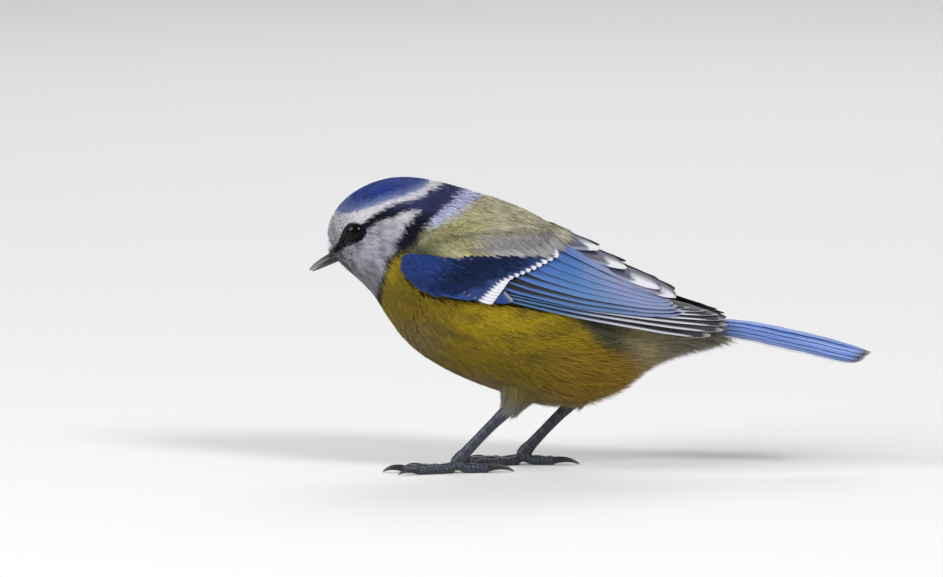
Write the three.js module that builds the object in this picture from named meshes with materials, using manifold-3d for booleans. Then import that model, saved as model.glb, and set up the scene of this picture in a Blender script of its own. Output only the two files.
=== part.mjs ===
// A life-size blue tit standing on level ground. It faces -X with its tail along +X, and +Z is up. Millimetres.
import * as THREE from "three";
import { mergeVertices } from "three/addons/utils/BufferGeometryUtils.js";
import Module from "manifold-3d";

const wasm = await Module();
wasm.setup();

const { clamp, degToRad, lerp } = THREE.MathUtils;

// Sizes that hold for the whole bird.
const gap = 0.3; // clearance between neighbouring pieces
const ringPoints = 24; // points round a body section
const leftSide = -1; // the left side lies towards -Y

// Sections of the head, neck and torso, from the face to the rump: the highest and lowest point of each in side
// view as [x, z], half its width, and how far up between the two it is widest.
const bodySections = [
  { top: [-52.7, 46.4], bottom: [-51.3, 43.2], half: 2.0, widest: 0.5 }, // round the bill's root
  { top: [-51.6, 50.8], bottom: [-49.0, 40.6], half: 5.2, widest: 0.5 }, // lores
  { top: [-48.8, 54.4], bottom: [-45.9, 37.8], half: 8.1, widest: 0.52 }, // eyes
  { top: [-44.5, 57.1], bottom: [-43.4, 35.2], half: 9.9, widest: 0.5 }, // crown and cheeks
  { top: [-39.5, 58.5], bottom: [-41.6, 32.4], half: 11.0, widest: 0.48 }, // back of the crown, throat
  { top: [-34.1, 58.4], bottom: [-39.8, 29.6], half: 12.2, widest: 0.46 }, // nape
  { top: [-28.7, 57.1], bottom: [-37.2, 26.4], half: 14.4, widest: 0.46 }, // hind neck, upper breast
  { top: [-23.1, 55.5], bottom: [-33.4, 23.1], half: 16.8, widest: 0.46 }, // shoulders
  { top: [-17.5, 53.7], bottom: [-27.1, 19.5], half: 18.5, widest: 0.46 },
  { top: [-11.9, 51.3], bottom: [-19.1, 16.3], half: 19.2, widest: 0.46 }, // deepest part of the breast
  { top: [-6.1, 47.7], bottom: [-10.1, 13.7], half: 18.6, widest: 0.47 },
  { top: [-0.1, 43.0], bottom: [-1.1, 14.6], half: 16.2, widest: 0.48 }, // lower back, belly
  { top: [5.9, 38.2], bottom: [5.5, 17.2], half: 12.6, widest: 0.5 },
  { top: [11.9, 34.2], bottom: [10.7, 21.4], half: 8.8, widest: 0.5 }, // rump, vent
  { top: [17.5, 31.6], bottom: [16.5, 24.0], half: 6.2, widest: 0.5 },
  { top: [21.9, 30.2], bottom: [21.9, 25.4], half: 4.8, widest: 0.5 }, // root of the tail
];
const headEnd = 4.9; // where the head meets the neck, counted in sections
const neckEnd = 6.5; // where the neck meets the torso
const sectionPitch = 2.6; // usual distance between sections, for the width of the cuts

// The bill, as a straight axis in side view.
const bill = {
  root: [-48.6, 43.6], // inside the face
  tip: [-56.3, 40.1],
  upperHeight: 1.5,
  lowerHeight: 1.15,
  halfWidth: 1.5,
  mouthGap: 0.15, // half the gap between the mandibles
};
const nostril = { along: 0.42, out: 1.05, up: 0.75, radius: 0.3 };

// The eyes and their lids.
const eye = { x: -46.9, y: 6.35, z: 48.3, radius: 2.35 };
const lid = { ringRadius: 2.3, y: 7.75, thickness: 0.42 };

// The surface that the folded wings lie on: an elliptic arc round the back at each x. The values stand at equal
// steps of x from first to last.
const wingBed = {
  first: -40,
  last: 30,
  halfWidth: [12.6, 16.2, 18.0, 18.1, 16.3, 12.6, 8.8, 6.9],
  middle: [41.0, 37.4, 35.4, 34.2, 32.6, 30.6, 28.5, 26.9],
  top: [54.0, 54.5, 53.0, 49.5, 43.8, 38.4, 33.7, 30.8],
};

const bedXs = [-39.4, -37.4, -34, -30, -24, -17, -10, -4, 2, 8, 14, 20, 26];

// The tail's ridge in side view, at equal steps of x, and how it falls to either side.
const tail = {
  first: 22,
  last: 57,
  ridge: [29.9, 30.1, 29.4, 28.2, 26.9, 25.3, 23.6],
  feathers: 6, // on each side
  droop: 1.7,
  halfWidth: 5.6,
  layer: 0.33, // each feather lies this much below its inner neighbour
};

// Legs: the heel and the joint above the toes as [x, z], and the distance of the foot from the midline.
const legY = 7.2;
const legs = {
  left: { side: -1, knee: [-12.6, 20.4], heel: [-15.8, 13.4], ankle: [-26.4, 2.5] },
  right: { side: 1, knee: [0.6, 20.4], heel: [-2.6, 13.4], ankle: [-13.2, 2.5] },
};
const tarsusRadius = 1.05;
// Toes: heading from straight ahead in degrees outwards, length without the claw, thickness.
const toes = [
  { name: "inner", heading: -24, length: 8.4, radius: 0.92 },
  { name: "middle", heading: -2, length: 11.2, radius: 1.0 },
  { name: "outer", heading: 20, length: 8.8, radius: 0.9 },
  { name: "hind", heading: 186, length: 6.2, radius: 1.08 },
];
const claw = { length: 3.9, hindLength: 4.9, radius: 0.62, rise: 1.0 };

// Colours.
const paint = {
  white: new THREE.MeshStandardMaterial({ color: 0xc9c6d2, roughness: 0.85 }),
  blue: new THREE.MeshStandardMaterial({ color: 0x3a66b4, roughness: 0.6 }),
  tailBlue: new THREE.MeshStandardMaterial({ color: 0x5f86cf, roughness: 0.6 }),
  indigo: new THREE.MeshStandardMaterial({ color: 0x1c2048, roughness: 0.8 }),
  yellow: new THREE.MeshStandardMaterial({ color: 0xa08a1e, roughness: 0.9 }),
  olive: new THREE.MeshStandardMaterial({ color: 0x8f8f4a, roughness: 0.9 }),
  horn: new THREE.MeshStandardMaterial({ color: 0x4a4442, roughness: 0.45 }),
  slate: new THREE.MeshStandardMaterial({ color: 0x3b4258, roughness: 0.55 }),
  eyeBlack: new THREE.MeshStandardMaterial({ color: 0x080606, roughness: 0.08 }),
};

// The value at t from 0 to 1 of a smooth curve through equally spaced values.
function through(values, t) {
  const last = values.length - 1;
  const place = clamp(t, 0, 1) * last;
  const i = Math.min(Math.floor(place), last - 1);
  const u = place - i;
  const [a, b, c, d] = [i - 1, i, i + 1, i + 2].map((k) => values[clamp(k, 0, last)]);
  return b + 0.5 * u * (c - a + u * (2 * a - 5 * b + 4 * c - d + u * (3 * (b - c) + d - a)));
}

// A closed surface through rings of points, with a fan over each end.
function loft(rings) {
  const count = rings[0].length;
  const points = rings.flat();
  const triangles = [];
  for (let i = 0; i + 1 < rings.length; i++) {
    for (let j = 0; j < count; j++) {
      const [a, b] = [i * count + j, i * count + ((j + 1) % count)];
      const [c, d] = [a + count, b + count];
      triangles.push([a, b, d], [a, d, c]);
    }
  }
  [0, rings.length - 1].forEach((end) => {
    const middle = new THREE.Vector3();
    rings[end].forEach((p) => middle.addScaledVector(p, 1 / count));
    points.push(middle);
    for (let j = 0; j < count; j++) {
      const [a, b] = [end * count + j, end * count + ((j + 1) % count)];
      triangles.push(end ? [a, b, points.length - 1] : [b, a, points.length - 1]);
    }
  });
  return closed(points, triangles);
}

// A geometry from points and triangles, turned so that its faces point out.
function closed(points, triangles) {
  let volume = 0;
  triangles.forEach(([a, b, c]) => {
    volume += points[a].dot(new THREE.Vector3().crossVectors(points[b], points[c]));
  });
  const order = volume < 0 ? triangles.map(([a, b, c]) => [a, c, b]) : triangles;
  const geometry = new THREE.BufferGeometry().setFromPoints(points);
  return geometry.setIndex(order.flat());
}

// Between a three.js geometry and a solid that can be joined and cut.
function solid(geometry) {
  const bare = geometry.clone();
  bare.deleteAttribute("normal");
  bare.deleteAttribute("uv");
  const merged = mergeVertices(bare, 1e-4);
  return new wasm.Manifold(
    new wasm.Mesh({
      numProp: 3,
      vertProperties: new Float32Array(merged.attributes.position.array),
      triVerts: new Uint32Array(merged.index.array),
    }),
  );
}

function largest(manifold) {
  return manifold.decompose().reduce((a, b) => (b.volume() > a.volume() ? b : a));
}

function geometryOf(manifold) {
  const { vertProperties, triVerts } = manifold.getMesh();
  const geometry = new THREE.BufferGeometry();
  geometry.setAttribute("position", new THREE.BufferAttribute(vertProperties, 3));
  return geometry.setIndex(new THREE.BufferAttribute(triVerts, 1));
}

function joined(geometries) {
  return geometries.map(solid).reduce((a, b) => a.add(b));
}

// The same geometry on the other side of the body.
function mirrored(geometry) {
  const copy = geometry.clone().scale(1, -1, 1);
  const index = copy.index.array;
  for (let i = 0; i < index.length; i += 3) [index[i + 1], index[i + 2]] = [index[i + 2], index[i + 1]];
  return copy;
}

// One section of the body, at a place counted in sections.
function bodyRing(place, grow = 0) {
  const t = place / (bodySections.length - 1);
  const read = (pick) => through(bodySections.map(pick), t);
  const top = new THREE.Vector3(read((s) => s.top[0]), 0, read((s) => s.top[1]));
  const bottom = new THREE.Vector3(read((s) => s.bottom[0]), 0, read((s) => s.bottom[1]));
  const half = read((s) => s.half) + grow;
  const widest = read((s) => s.widest);
  return Array.from({ length: ringPoints }, (_, j) => {
    const angle = (j / ringPoints) * 2 * Math.PI;
    const up = Math.sin(angle);
    const share = widest + (up > 0 ? 1 - widest : widest) * up;
    const point = new THREE.Vector3().lerpVectors(bottom, top, share);
    point.y = half * Math.cos(angle);
    return point;
  });
}

function bodyPiece(from, to, steps) {
  return loft(Array.from({ length: steps + 1 }, (_, i) => bodyRing(lerp(from, to, i / steps))));
}

// A tube along points with a radius at each, and sides round it. Nothing reaches below the ground.
function tube(points, radii, sides, flatten = 1) {
  const rings = points.map((p, i) => {
    const ahead = new THREE.Vector3().subVectors(
      points[Math.min(i + 1, points.length - 1)],
      points[Math.max(i - 1, 0)],
    );
    const across = new THREE.Vector3(0, 0, 1).cross(ahead).normalize();
    const over = new THREE.Vector3().crossVectors(ahead, across).normalize();
    return Array.from({ length: sides }, (_, j) => {
      const angle = ((j + 0.5) / sides) * 2 * Math.PI;
      const point = p.clone().addScaledVector(across, radii[i] * Math.cos(angle));
      point.addScaledVector(over, flatten * radii[i] * Math.sin(angle));
      point.z = Math.max(point.z, 0);
      return point;
    });
  });
  return loft(rings);
}

// A ball of radius r at a point.
function ball(point, radius, detail) {
  return new THREE.IcosahedronGeometry(radius, detail).translate(point.x, point.y, point.z);
}

// The wings' surface: a point at x and an angle up from the side, raised off the surface.
function onWingBed(x, angle, raise, side = leftSide) {
  const t = (x - wingBed.first) / (wingBed.last - wingBed.first);
  const middle = through(wingBed.middle, t);
  const halfWidth = through(wingBed.halfWidth, t) + raise;
  const height = through(wingBed.top, t) - middle + raise;
  return new THREE.Vector3(x, side * halfWidth * Math.cos(angle), middle + height * Math.sin(angle));
}

// The angle at which the wings' surface has the height z.
function wingAngle(x, z) {
  const t = (x - wingBed.first) / (wingBed.last - wingBed.first);
  const middle = through(wingBed.middle, t);
  return Math.asin(clamp((z - middle) / (through(wingBed.top, t) - middle), -0.9, 0.999));
}

// A closed slab over the wings' surface between two edges, given as angles at each x.
function slab(xs, low, high, inner, outer, across) {
  const rings = xs.map((x, i) => {
    const angles = Array.from({ length: across + 1 }, (_, j) => lerp(low[i], high[i], j / across));
    return [
      ...angles.map((a) => onWingBed(x, a, outer[i])),
      ...angles.reverse().map((a) => onWingBed(x, a, inner[i])),
    ];
  });
  return loftSlab(rings);
}

// As loft, for a flat ring of an outer row and an inner row run backwards: both faces are split alike.
function loftSlab(rings) {
  const count = rings[0].length;
  const points = rings.flat();
  const half = count / 2;
  const triangles = [];
  for (let i = 0; i + 1 < rings.length; i++) {
    for (let j = 0; j < count; j++) {
      const [a, b] = [i * count + j, i * count + ((j + 1) % count)];
      const [c, d] = [a + count, b + count];
      if (j < half) triangles.push([a, b, d], [a, d, c]);
      else triangles.push([a, b, c], [b, d, c]);
    }
  }
  [0, rings.length - 1].forEach((end) => {
    for (let j = 0; j < half - 1; j++) {
      const [a, b] = [end * count + j, end * count + j + 1];
      const [c, d] = [end * count + count - 1 - j, end * count + count - 2 - j];
      triangles.push(...(end ? [[a, b, d], [a, d, c]] : [[b, a, d], [d, a, c]]));
    }
  });
  return closed(points, triangles);
}

// One feather blade along a centre line. frame(s) gives its point, outward normal and lift; the outline narrows to
// the root and is rounded at the tip.
const longOutline = [
  { s: 0, width: 0.6, thick: 1 },
  { s: 0.42, width: 1, thick: 1 },
  { s: 0.8, width: 0.92, thick: 0.95 },
  { s: 0.95, width: 0.58, thick: 0.8 },
  { s: 1, width: 0.16, thick: 0.5 },
];
const shortOutline = [
  { s: 0, width: 0.7, thick: 1 },
  { s: 0.55, width: 1, thick: 1 },
  { s: 0.88, width: 0.8, thick: 0.9 },
  { s: 1, width: 0.24, thick: 0.6 },
];

function blade({ centre, normal, width, outline, outerShare = 0.42, thick = 0.55, tilt = 0 }) {
  const rings = outline.map(({ s, width: w, thick: t }) => {
    const point = centre(s);
    const ahead = new THREE.Vector3().subVectors(centre(Math.min(s + 0.02, 1)), centre(Math.max(s - 0.02, 0)));
    ahead.normalize();
    const across = new THREE.Vector3().crossVectors(normal(s), ahead).normalize(); // towards the upper edge
    across.applyAxisAngle(ahead, tilt);
    const out = new THREE.Vector3().crossVectors(ahead, across).normalize();
    const corner = (along, height) =>
      point.clone().addScaledVector(across, along).addScaledVector(out, height);
    const [lower, upper] = [-width * w * outerShare, width * w * (1 - outerShare)];
    const halfThick = (thick * t) / 2;
    return [corner(lower, halfThick), corner(upper, halfThick), corner(upper, -halfThick), corner(lower, -halfThick)];
  });
  return loftSlab(rings);
}

// A feather of the folded left wing, from a root to a tip given in side view as [x, z].
function wingFeather({ from, to, lift, tipLift = lift, tilt, ...shape }) {
  const place = (s) => {
    const x = lerp(from[0], to[0], s);
    return [x, wingAngle(x, lerp(from[1], to[1], s))];
  };
  const centre = (s) => onWingBed(...place(s), lerp(lift, tipLift, s));
  const normal = (s) => {
    const [x, angle] = place(s);
    return onWingBed(x, angle, 1).sub(onWingBed(x, angle, 0)).normalize();
  };
  return blade({ centre, normal, tilt: -degToRad(tilt), ...shape });
}

// A row of wing feathers from the lowest to the highest.
function featherRow({ count, outline, from, to, make }) {
  return Array.from({ length: count }, (_, k) => {
    const t = k / (count - 1);
    return wingFeather({ outline, from: from(t), to: to(t, k), ...make(t) });
  });
}

// The folded left wing: the arm as a slab, and its feathers in tiers, each over the next lower one.
function wing() {
  const armXs = [-38.4, -36.5, -33, -27, -20, -12, -5, 1, 6];
  const armLow = [42.0, 39.6, 37.6, 36.6, 36.2, 35.4, 34.8, 34.6, 34.2];
  const armHigh = [43.6, 45.4, 46.4, 46.8, 46.8, 46.6, 44.6, 41.6, 38.6];
  const arm = slab(
    armXs,
    armXs.map((x, i) => wingAngle(x, armLow[i])),
    armXs.map((x, i) => wingAngle(x, armHigh[i])),
    armXs.map(() => 0),
    [0.9, 1.5, 1.9, 2.0, 1.9, 1.6, 1.1, 0.8, 0.5],
    4,
  );
  const webXs = [-5, 0, 5, 10, 15, 18];
  const webLow = [45.6, 43.4, 41.0, 38.4, 36.2, 35.0];
  const innerWebs = slab(
    webXs,
    webXs.map((x, i) => wingAngle(x, webLow[i])),
    webXs.map(() => degToRad(93)),
    webXs.map(() => 0.35),
    [1.5, 1.6, 1.5, 1.3, 1.1, 0.9],
    2,
  );
  const primaries = featherRow({
    count: 8,
    outline: longOutline,
    from: (t) => [-24 + 4 * t, 37.6 + 1.2 * t],
    to: (t, k) => [27.3 - (k < 2.4 ? 0.6 : 0.36) * (k - 2.4) ** 2, 28.5 + 0.75 * k],
    make: (t) => ({ width: 4.4, lift: 0.78, tipLift: 0.6 + 0.4 * t, tilt: 13, outerShare: 0.3 }),
  });
  const secondaries = featherRow({
    count: 6,
    outline: longOutline,
    from: (t) => [-19 + 10 * t, 38.4 + 5.6 * t],
    to: (t) => [18.4 - 5.6 * t, 31.6 + 4.4 * t],
    make: (t) => ({ width: 5.2, lift: 1.25, tipLift: 1.0 + 0.3 * t, tilt: 11, outerShare: 0.42 }),
  });
  const tertialTips = [[16.6, 34.6], [13.4, 36.8], [7.6, 40.6], [1.8, 44.2]];
  const tertials = featherRow({
    count: tertialTips.length,
    outline: longOutline,
    from: (t) => [-5.5 - 3 * t, 43.4 + 3.2 * t],
    to: (t, k) => tertialTips[k],
    make: (t) => ({ width: 6.6 - 0.8 * t, lift: 1.6, tipLift: 1.7 + 0.35 * t, tilt: 9, outerShare: 0.5 }),
  });
  const greaterCoverts = featherRow({
    count: 6,
    outline: shortOutline,
    from: (t) => [-27 + 14 * t, 38.8 + 7.0 * t],
    to: (t) => [-18.2 + 12.4 * t ** 1.25, 37.4 + 8.0 * t ** 0.8],
    make: () => ({ width: 4.5, lift: 1.75, tipLift: 2.1, tilt: 9, outerShare: 0.5 }),
  });
  const primaryCoverts = featherRow({
    count: 3,
    outline: shortOutline,
    from: (t) => [-27 + 2 * t, 37.6 + 1.2 * t],
    to: (t) => [-15.6 - 1.4 * t, 36.1 + 1.3 * t],
    make: () => ({ width: 2.9, lift: 1.5, tipLift: 1.6, tilt: 10, outerShare: 0.5 }),
  });
  const medianCoverts = featherRow({
    count: 4,
    outline: shortOutline,
    from: (t) => [-31 + 14 * t, 40.2 + 5.2 * t],
    to: (t) => [-24.0 + 13 * t, 39.6 + 6.2 * t],
    make: () => ({ width: 5.3, lift: 2.08, tipLift: 2.35, tilt: 8, outerShare: 0.5 }),
  });
  const alula = featherRow({
    count: 2,
    outline: shortOutline,
    from: (t) => [-33.5 + 0.8 * t, 38.6 + 0.8 * t],
    to: (t) => [-22.8 - 2.2 * t, 36.8 + 0.9 * t],
    make: () => ({ width: 2.4, lift: 1.85, tipLift: 1.8, tilt: 9, outerShare: 0.5 }),
  });
  const feathers = [
    primaries,
    secondaries,
    tertials,
    greaterCoverts,
    primaryCoverts,
    medianCoverts,
    alula,
  ].flat();
  return joined([arm, innerWebs, ...feathers]).intersect(solid(wingSpace()));
}

// How far up the wings' surface the left wing may reach, just short of the midline.
function midlineAngle(x) {
  return Math.acos(0.25 / onWingBed(x, 0, 0).y / leftSide);
}

// All the room outside the wings' surface on the left, clear of the midline.
function wingSpace() {
  const xs = [-44, ...bedXs, 31];
  const low = xs.map(() => degToRad(-25));
  return slab(xs, low, xs.map(midlineAngle), xs.map(() => 0), xs.map(() => 9), 6);
}

// What is taken out of the torso for the folded wing and its clearance.
function wingRecess() {
  const low = [41.0, 38.4, 36.2, 35.2, 34.8, 34.4, 33.0, 31.9, 30.8, 29.4, 28.2, 26.8, 25.4];
  const high = [44.4, 46.2, 47.2, 47.6, 47.8, 47.9, 47.9, 48.4, 60, 60, 60, 60, 60];
  const highAngle = (x, z) => (z > 55 ? degToRad(94) : wingAngle(x, z));
  return slab(
    bedXs,
    bedXs.map((x, i) => wingAngle(x, low[i])),
    bedXs.map((x, i) => highAngle(x, high[i])),
    bedXs.map(() => -gap),
    bedXs.map(() => 10),
    6,
  );
}

// Both halves of the tail: a wedge at the root that the tail feathers grow from, fused with them.
function tailFan() {
  const ridgeAt = (x) => through(tail.ridge, (x - tail.first) / (tail.last - tail.first));
  const surface = (x, y) => ridgeAt(x) - tail.droop * Math.abs(y / tail.halfWidth) ** 1.6;
  const rootLength = 10;
  const root = loft(
    [0, 0.25, 0.5, 0.75, 1].map((t) => {
      const x = bodySections.at(-1).top[0] + gap + rootLength * t;
      const half = lerp(4.5, 4.9, t);
      const height = lerp(2.3, 0.9, t);
      return Array.from({ length: 14 }, (_, j) => {
        const angle = (j / 14) * 2 * Math.PI;
        const y = half * Math.cos(angle);
        const middle = lerp(27.9, ridgeAt(x) - 1.7, t);
        return new THREE.Vector3(x, y, middle + height * Math.sin(angle) - 0.6 * t * (y / half) ** 2);
      });
    }),
  );
  const feathers = [-1, 1].flatMap((side) =>
    Array.from({ length: tail.feathers }, (_, k) => {
      const rootPoint = [tail.first + 2.5, side * (0.35 + 0.36 * k)];
      const tipPoint = [56.2 - 0.42 * k, side * (0.5 + 0.56 * k)];
      const under = (k + (side > 0 ? 0.45 : 0)) * tail.layer;
      const centre = (s) => {
        const x = lerp(rootPoint[0], tipPoint[0], s);
        const y = lerp(rootPoint[1], tipPoint[1], s);
        return new THREE.Vector3(x, y, surface(x, y) - under - 0.3);
      };
      const slope = Math.atan((side * 2 * tail.droop * Math.abs(tipPoint[1])) / tail.halfWidth ** 2);
      const normal = () => new THREE.Vector3(0, Math.sin(slope), Math.cos(slope));
      return blade({ centre, normal, outline: longOutline, width: 5.4, outerShare: 0.5 });
    }),
  );
  return joined([root, ...feathers]);
}

// The upper or lower half of the bill: up is 1 or -1. grow widens it for the socket in the face.
function mandible(up, grow = 0) {
  const root = new THREE.Vector3(bill.root[0], 0, bill.root[1]);
  const tip = new THREE.Vector3(bill.tip[0], 0, bill.tip[1]);
  const ahead = tip.clone().sub(root).normalize();
  const over = new THREE.Vector3(-ahead.z, 0, ahead.x).multiplyScalar(ahead.x < 0 ? -1 : 1);
  const length = (up > 0 ? 1 : 0.955) * tip.distanceTo(root);
  const height = (up > 0 ? bill.upperHeight : bill.lowerHeight) + grow;
  const shares = [0, 0.3, 0.5, 0.68, 0.83, 0.94, 1];
  const rings = shares.map((s) => {
    const taper = Math.sqrt(Math.max(1 - s ** 1.7, 0)) * 0.93 + 0.07;
    const centre = root.clone().addScaledVector(ahead, length * s - (s === 0 ? grow : 0));
    const bend = -0.35 * s ** 3; // the culmen curves down to the tip
    return Array.from({ length: 9 }, (_, j) => {
      const angle = (j / 8) * Math.PI;
      const y = (bill.halfWidth + grow) * taper * Math.cos(angle);
      const rise = up * (bill.mouthGap - grow + (height + grow) * taper * Math.sin(angle));
      return centre.clone().addScaledVector(over, rise + bend).setY(y);
    });
  });
  return loft(rings);
}

// Head, neck and torso as parts of one smooth body, with room for what is set into them.
function bodySolids() {
  const step = gap / sectionPitch;
  const head = bodyPiece(0, headEnd, 15);
  const neck = bodyPiece(headEnd + step, neckEnd, 4);
  const torso = bodyPiece(neckEnd + step, bodySections.length - 1, 23);
  return { head: solid(head), neck: solid(neck), torso: solid(torso) };
}

function eyeBall(side, grow = 0) {
  return ball(new THREE.Vector3(eye.x, side * eye.y, eye.z), eye.radius + grow, 2);
}

// The ring of lids round an eye.
function lidRing(side) {
  const ring = new THREE.TorusGeometry(lid.ringRadius, lid.thickness, 5, 16);
  return ring.rotateX(Math.PI / 2).rotateZ(side * 0.32).translate(eye.x, side * lid.y, eye.z);
}

// The feathered thigh, from inside the belly to the heel.
function thigh(leg, grow = 0) {
  const at = (t) =>
    new THREE.Vector3(lerp(leg.knee[0], leg.heel[0], t), leg.side * legY, lerp(leg.knee[1], leg.heel[1], t));
  const shares = [0, 0.3, 0.55, 0.8, 1];
  const radii = [4.2, 3.9, 3.2, 2.2, 1.5].map((r) => r + grow);
  return tube(shares.map(at), radii, 12);
}

// The bare shank, from just under the heel to the toes' joint.
function tarsus(leg) {
  const heel = new THREE.Vector3(leg.heel[0], leg.side * legY, leg.heel[1]);
  const ankle = new THREE.Vector3(leg.ankle[0], leg.side * legY, leg.ankle[1]);
  const ahead = ankle.clone().sub(heel).normalize();
  const from = heel.clone().addScaledVector(ahead, gap);
  const to = ankle.clone().addScaledVector(ahead, -1.5);
  const shares = [0, 0.12, 0.3, 0.6, 0.85, 1];
  const radii = [1.25, 1.3, 1.05, 1, 1.08, 1.2].map((r) => r * tarsusRadius);
  return tube(shares.map((t) => from.clone().lerp(to, t)), radii, 10);
}

// Where a toe lies: out along its heading, falling from the joint to the ground.
function toePath(leg, toe) {
  const heading = degToRad(toe.heading) * leg.side;
  const ahead = new THREE.Vector3(-Math.cos(heading), Math.sin(heading), 0);
  const lowest = toe.radius * 0.72;
  return (s) => {
    const point = new THREE.Vector3(leg.ankle[0], leg.side * legY, 0);
    point.addScaledVector(ahead, toe.length * s);
    point.z = lerp(leg.ankle[1] - 0.9, lowest, clamp(s / 0.3, 0, 1));
    return point;
  };
}

// The toes of one foot with the joint that they meet in. Each toe swells at its pads.
function foot(leg) {
  const parts = toes.map((toe) => {
    const path = toePath(leg, toe);
    const shares = [0, 0.3, 0.45, 0.6, 0.75, 0.9, 1];
    const swell = [1.2, 1.05, 0.92, 1.08, 0.9, 1.04, 0.72];
    return tube(shares.map(path), swell.map((w) => w * toe.radius), 8, 0.95);
  });
  const joint = new THREE.Vector3(leg.ankle[0], leg.side * legY, leg.ankle[1]);
  const heel = new THREE.Vector3(leg.heel[0], leg.side * legY, leg.heel[1]);
  const up = heel.sub(joint).normalize();
  const shares = [-1.6, -0.5, 0.6, 1.5 - gap];
  const knuckle = tube(
    shares.map((d) => joint.clone().addScaledVector(up, d)),
    [1.05, 1.4, 1.38, 1.24].map((r) => r * tarsusRadius),
    10,
  );
  return joined([...parts, knuckle]);
}

// A claw, curving from the end of its toe down to the ground.
function clawOf(leg, toe) {
  const path = toePath(leg, toe);
  const ahead = path(1).sub(path(0.9)).setZ(0).normalize();
  const start = path(1).addScaledVector(ahead, gap);
  const length = toe.name === "hind" ? claw.hindLength : claw.length;
  const shares = [0, 0.25, 0.5, 0.75, 1];
  const points = shares.map((s) => {
    const point = start.clone().addScaledVector(ahead, length * Math.sin(s * 1.25) / Math.sin(1.25));
    const arch = claw.rise * Math.sin(Math.min(s * 1.9, 1.9) * 1.1);
    point.z = lerp(start.z, 0.2, s ** 1.5) + arch * (1 - s);
    return point;
  });
  return tube(points, [1, 0.86, 0.66, 0.42, 0.14].map((w) => w * claw.radius), 6, 1.2);
}

const bird = new THREE.Group();

function add(name, geometry, material) {
  const mesh = new THREE.Mesh(geometry, material);
  mesh.name = name;
  bird.add(mesh);
}

const body = bodySolids();
for (const up of [1, -1]) body.head = body.head.subtract(solid(mandible(up, gap)));
for (const side of [-1, 1]) {
  body.head = body.head.add(solid(lidRing(side))).subtract(solid(eyeBall(side, gap)));
}
for (const recess of [wingRecess(), mirrored(wingRecess())].map(solid)) {
  body.torso = body.torso.subtract(recess);
  body.neck = body.neck.subtract(recess);
}
for (const leg of Object.values(legs)) body.torso = body.torso.subtract(solid(thigh(leg, gap)));

add("head", geometryOf(largest(body.head)), paint.white);
add("neck", geometryOf(largest(body.neck)), paint.indigo);
add("torso", geometryOf(largest(body.torso)), paint.yellow);

const nostrilPits = [-1, 1].map((side) => {
  const root = new THREE.Vector3(bill.root[0], 0, bill.root[1]);
  const tip = new THREE.Vector3(bill.tip[0], 0, bill.tip[1]);
  const point = root.lerp(tip, nostril.along);
  point.y = side * nostril.out;
  point.z += nostril.up;
  return solid(ball(point, nostril.radius, 1));
});
const upperBill = nostrilPits.reduce((a, b) => a.subtract(b), solid(mandible(1)));
add("bill_upper", geometryOf(largest(upperBill)), paint.horn);
add("bill_lower", mandible(-1), paint.horn);
add("eye_left", eyeBall(-1), paint.eyeBlack);
add("eye_right", eyeBall(1), paint.eyeBlack);

const leftWing = geometryOf(largest(wing()));
add("wing_left", leftWing, paint.blue);
add("wing_right", mirrored(leftWing), paint.blue);
add("tail", geometryOf(largest(tailFan())), paint.tailBlue);

for (const [name, leg] of Object.entries(legs)) {
  add("thigh_" + name, thigh(leg), paint.olive);
  const shank = solid(tarsus(leg)).subtract(solid(thigh(leg, gap)));
  add("tarsus_" + name, geometryOf(largest(shank)), paint.slate);
  add("foot_" + name, geometryOf(largest(foot(leg))), paint.slate);
  for (const toe of toes) add(`claw_${name}_${toe.name}`, clawOf(leg, toe), paint.horn);
}

export default bird;
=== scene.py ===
# A life-size blue tit: feathered skin, wings, tail, bill, eyes and legs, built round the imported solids.
import math

import bpy
import numpy as np
from mathutils import Matrix, Vector


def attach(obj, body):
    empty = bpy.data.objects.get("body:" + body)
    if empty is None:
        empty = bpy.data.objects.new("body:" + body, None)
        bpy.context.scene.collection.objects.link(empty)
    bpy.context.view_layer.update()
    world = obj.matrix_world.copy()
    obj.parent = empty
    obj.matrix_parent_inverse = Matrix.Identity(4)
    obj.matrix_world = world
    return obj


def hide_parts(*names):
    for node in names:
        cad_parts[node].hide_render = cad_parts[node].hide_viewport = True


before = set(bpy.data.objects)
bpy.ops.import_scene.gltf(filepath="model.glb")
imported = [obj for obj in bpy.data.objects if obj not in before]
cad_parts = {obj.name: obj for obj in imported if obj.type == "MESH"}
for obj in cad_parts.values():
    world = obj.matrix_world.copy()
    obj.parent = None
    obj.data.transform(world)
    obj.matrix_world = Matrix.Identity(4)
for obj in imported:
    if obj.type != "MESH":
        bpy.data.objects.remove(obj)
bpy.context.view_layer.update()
mm = 0.001  # shapes are worked out in millimetres, in the frame's axes
rng = np.random.default_rng(11)


# sums over arrays


def through(values, t):  # a smooth curve through equally spaced values, for t from 0 to 1
    values = np.asarray(values, float)
    last = len(values) - 1
    place = np.clip(np.asarray(t, float), 0, 1) * last
    i = np.minimum(place.astype(int), last - 1)
    u = (place - i).reshape(place.shape + (1,) * (values.ndim - 1))
    a, b, c, d = (values[np.clip(i + k, 0, last)] for k in (-1, 0, 1, 2))
    return b + 0.5 * u * (c - a + u * (2 * a - 5 * b + 4 * c - d + u * (3 * (b - c) + d - a)))


def lerp(a, b, t):
    return a + (b - a) * t


def soft(distance, width):  # 0 to 1 across an edge that is width wide
    t = np.clip(np.asarray(distance) / width + 0.5, 0, 1)
    return t * t * (3 - 2 * t)


def unit(vectors):
    return vectors / np.maximum(np.linalg.norm(vectors, axis=-1, keepdims=True), 1e-9)


def blended(a, b, mask):
    return a + (np.asarray(b) - a) * np.asarray(mask)[..., None]


def coloured(shape, colour):
    return np.broadcast_to(np.asarray(colour, float), shape + (3,)).copy()


# meshes


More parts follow.
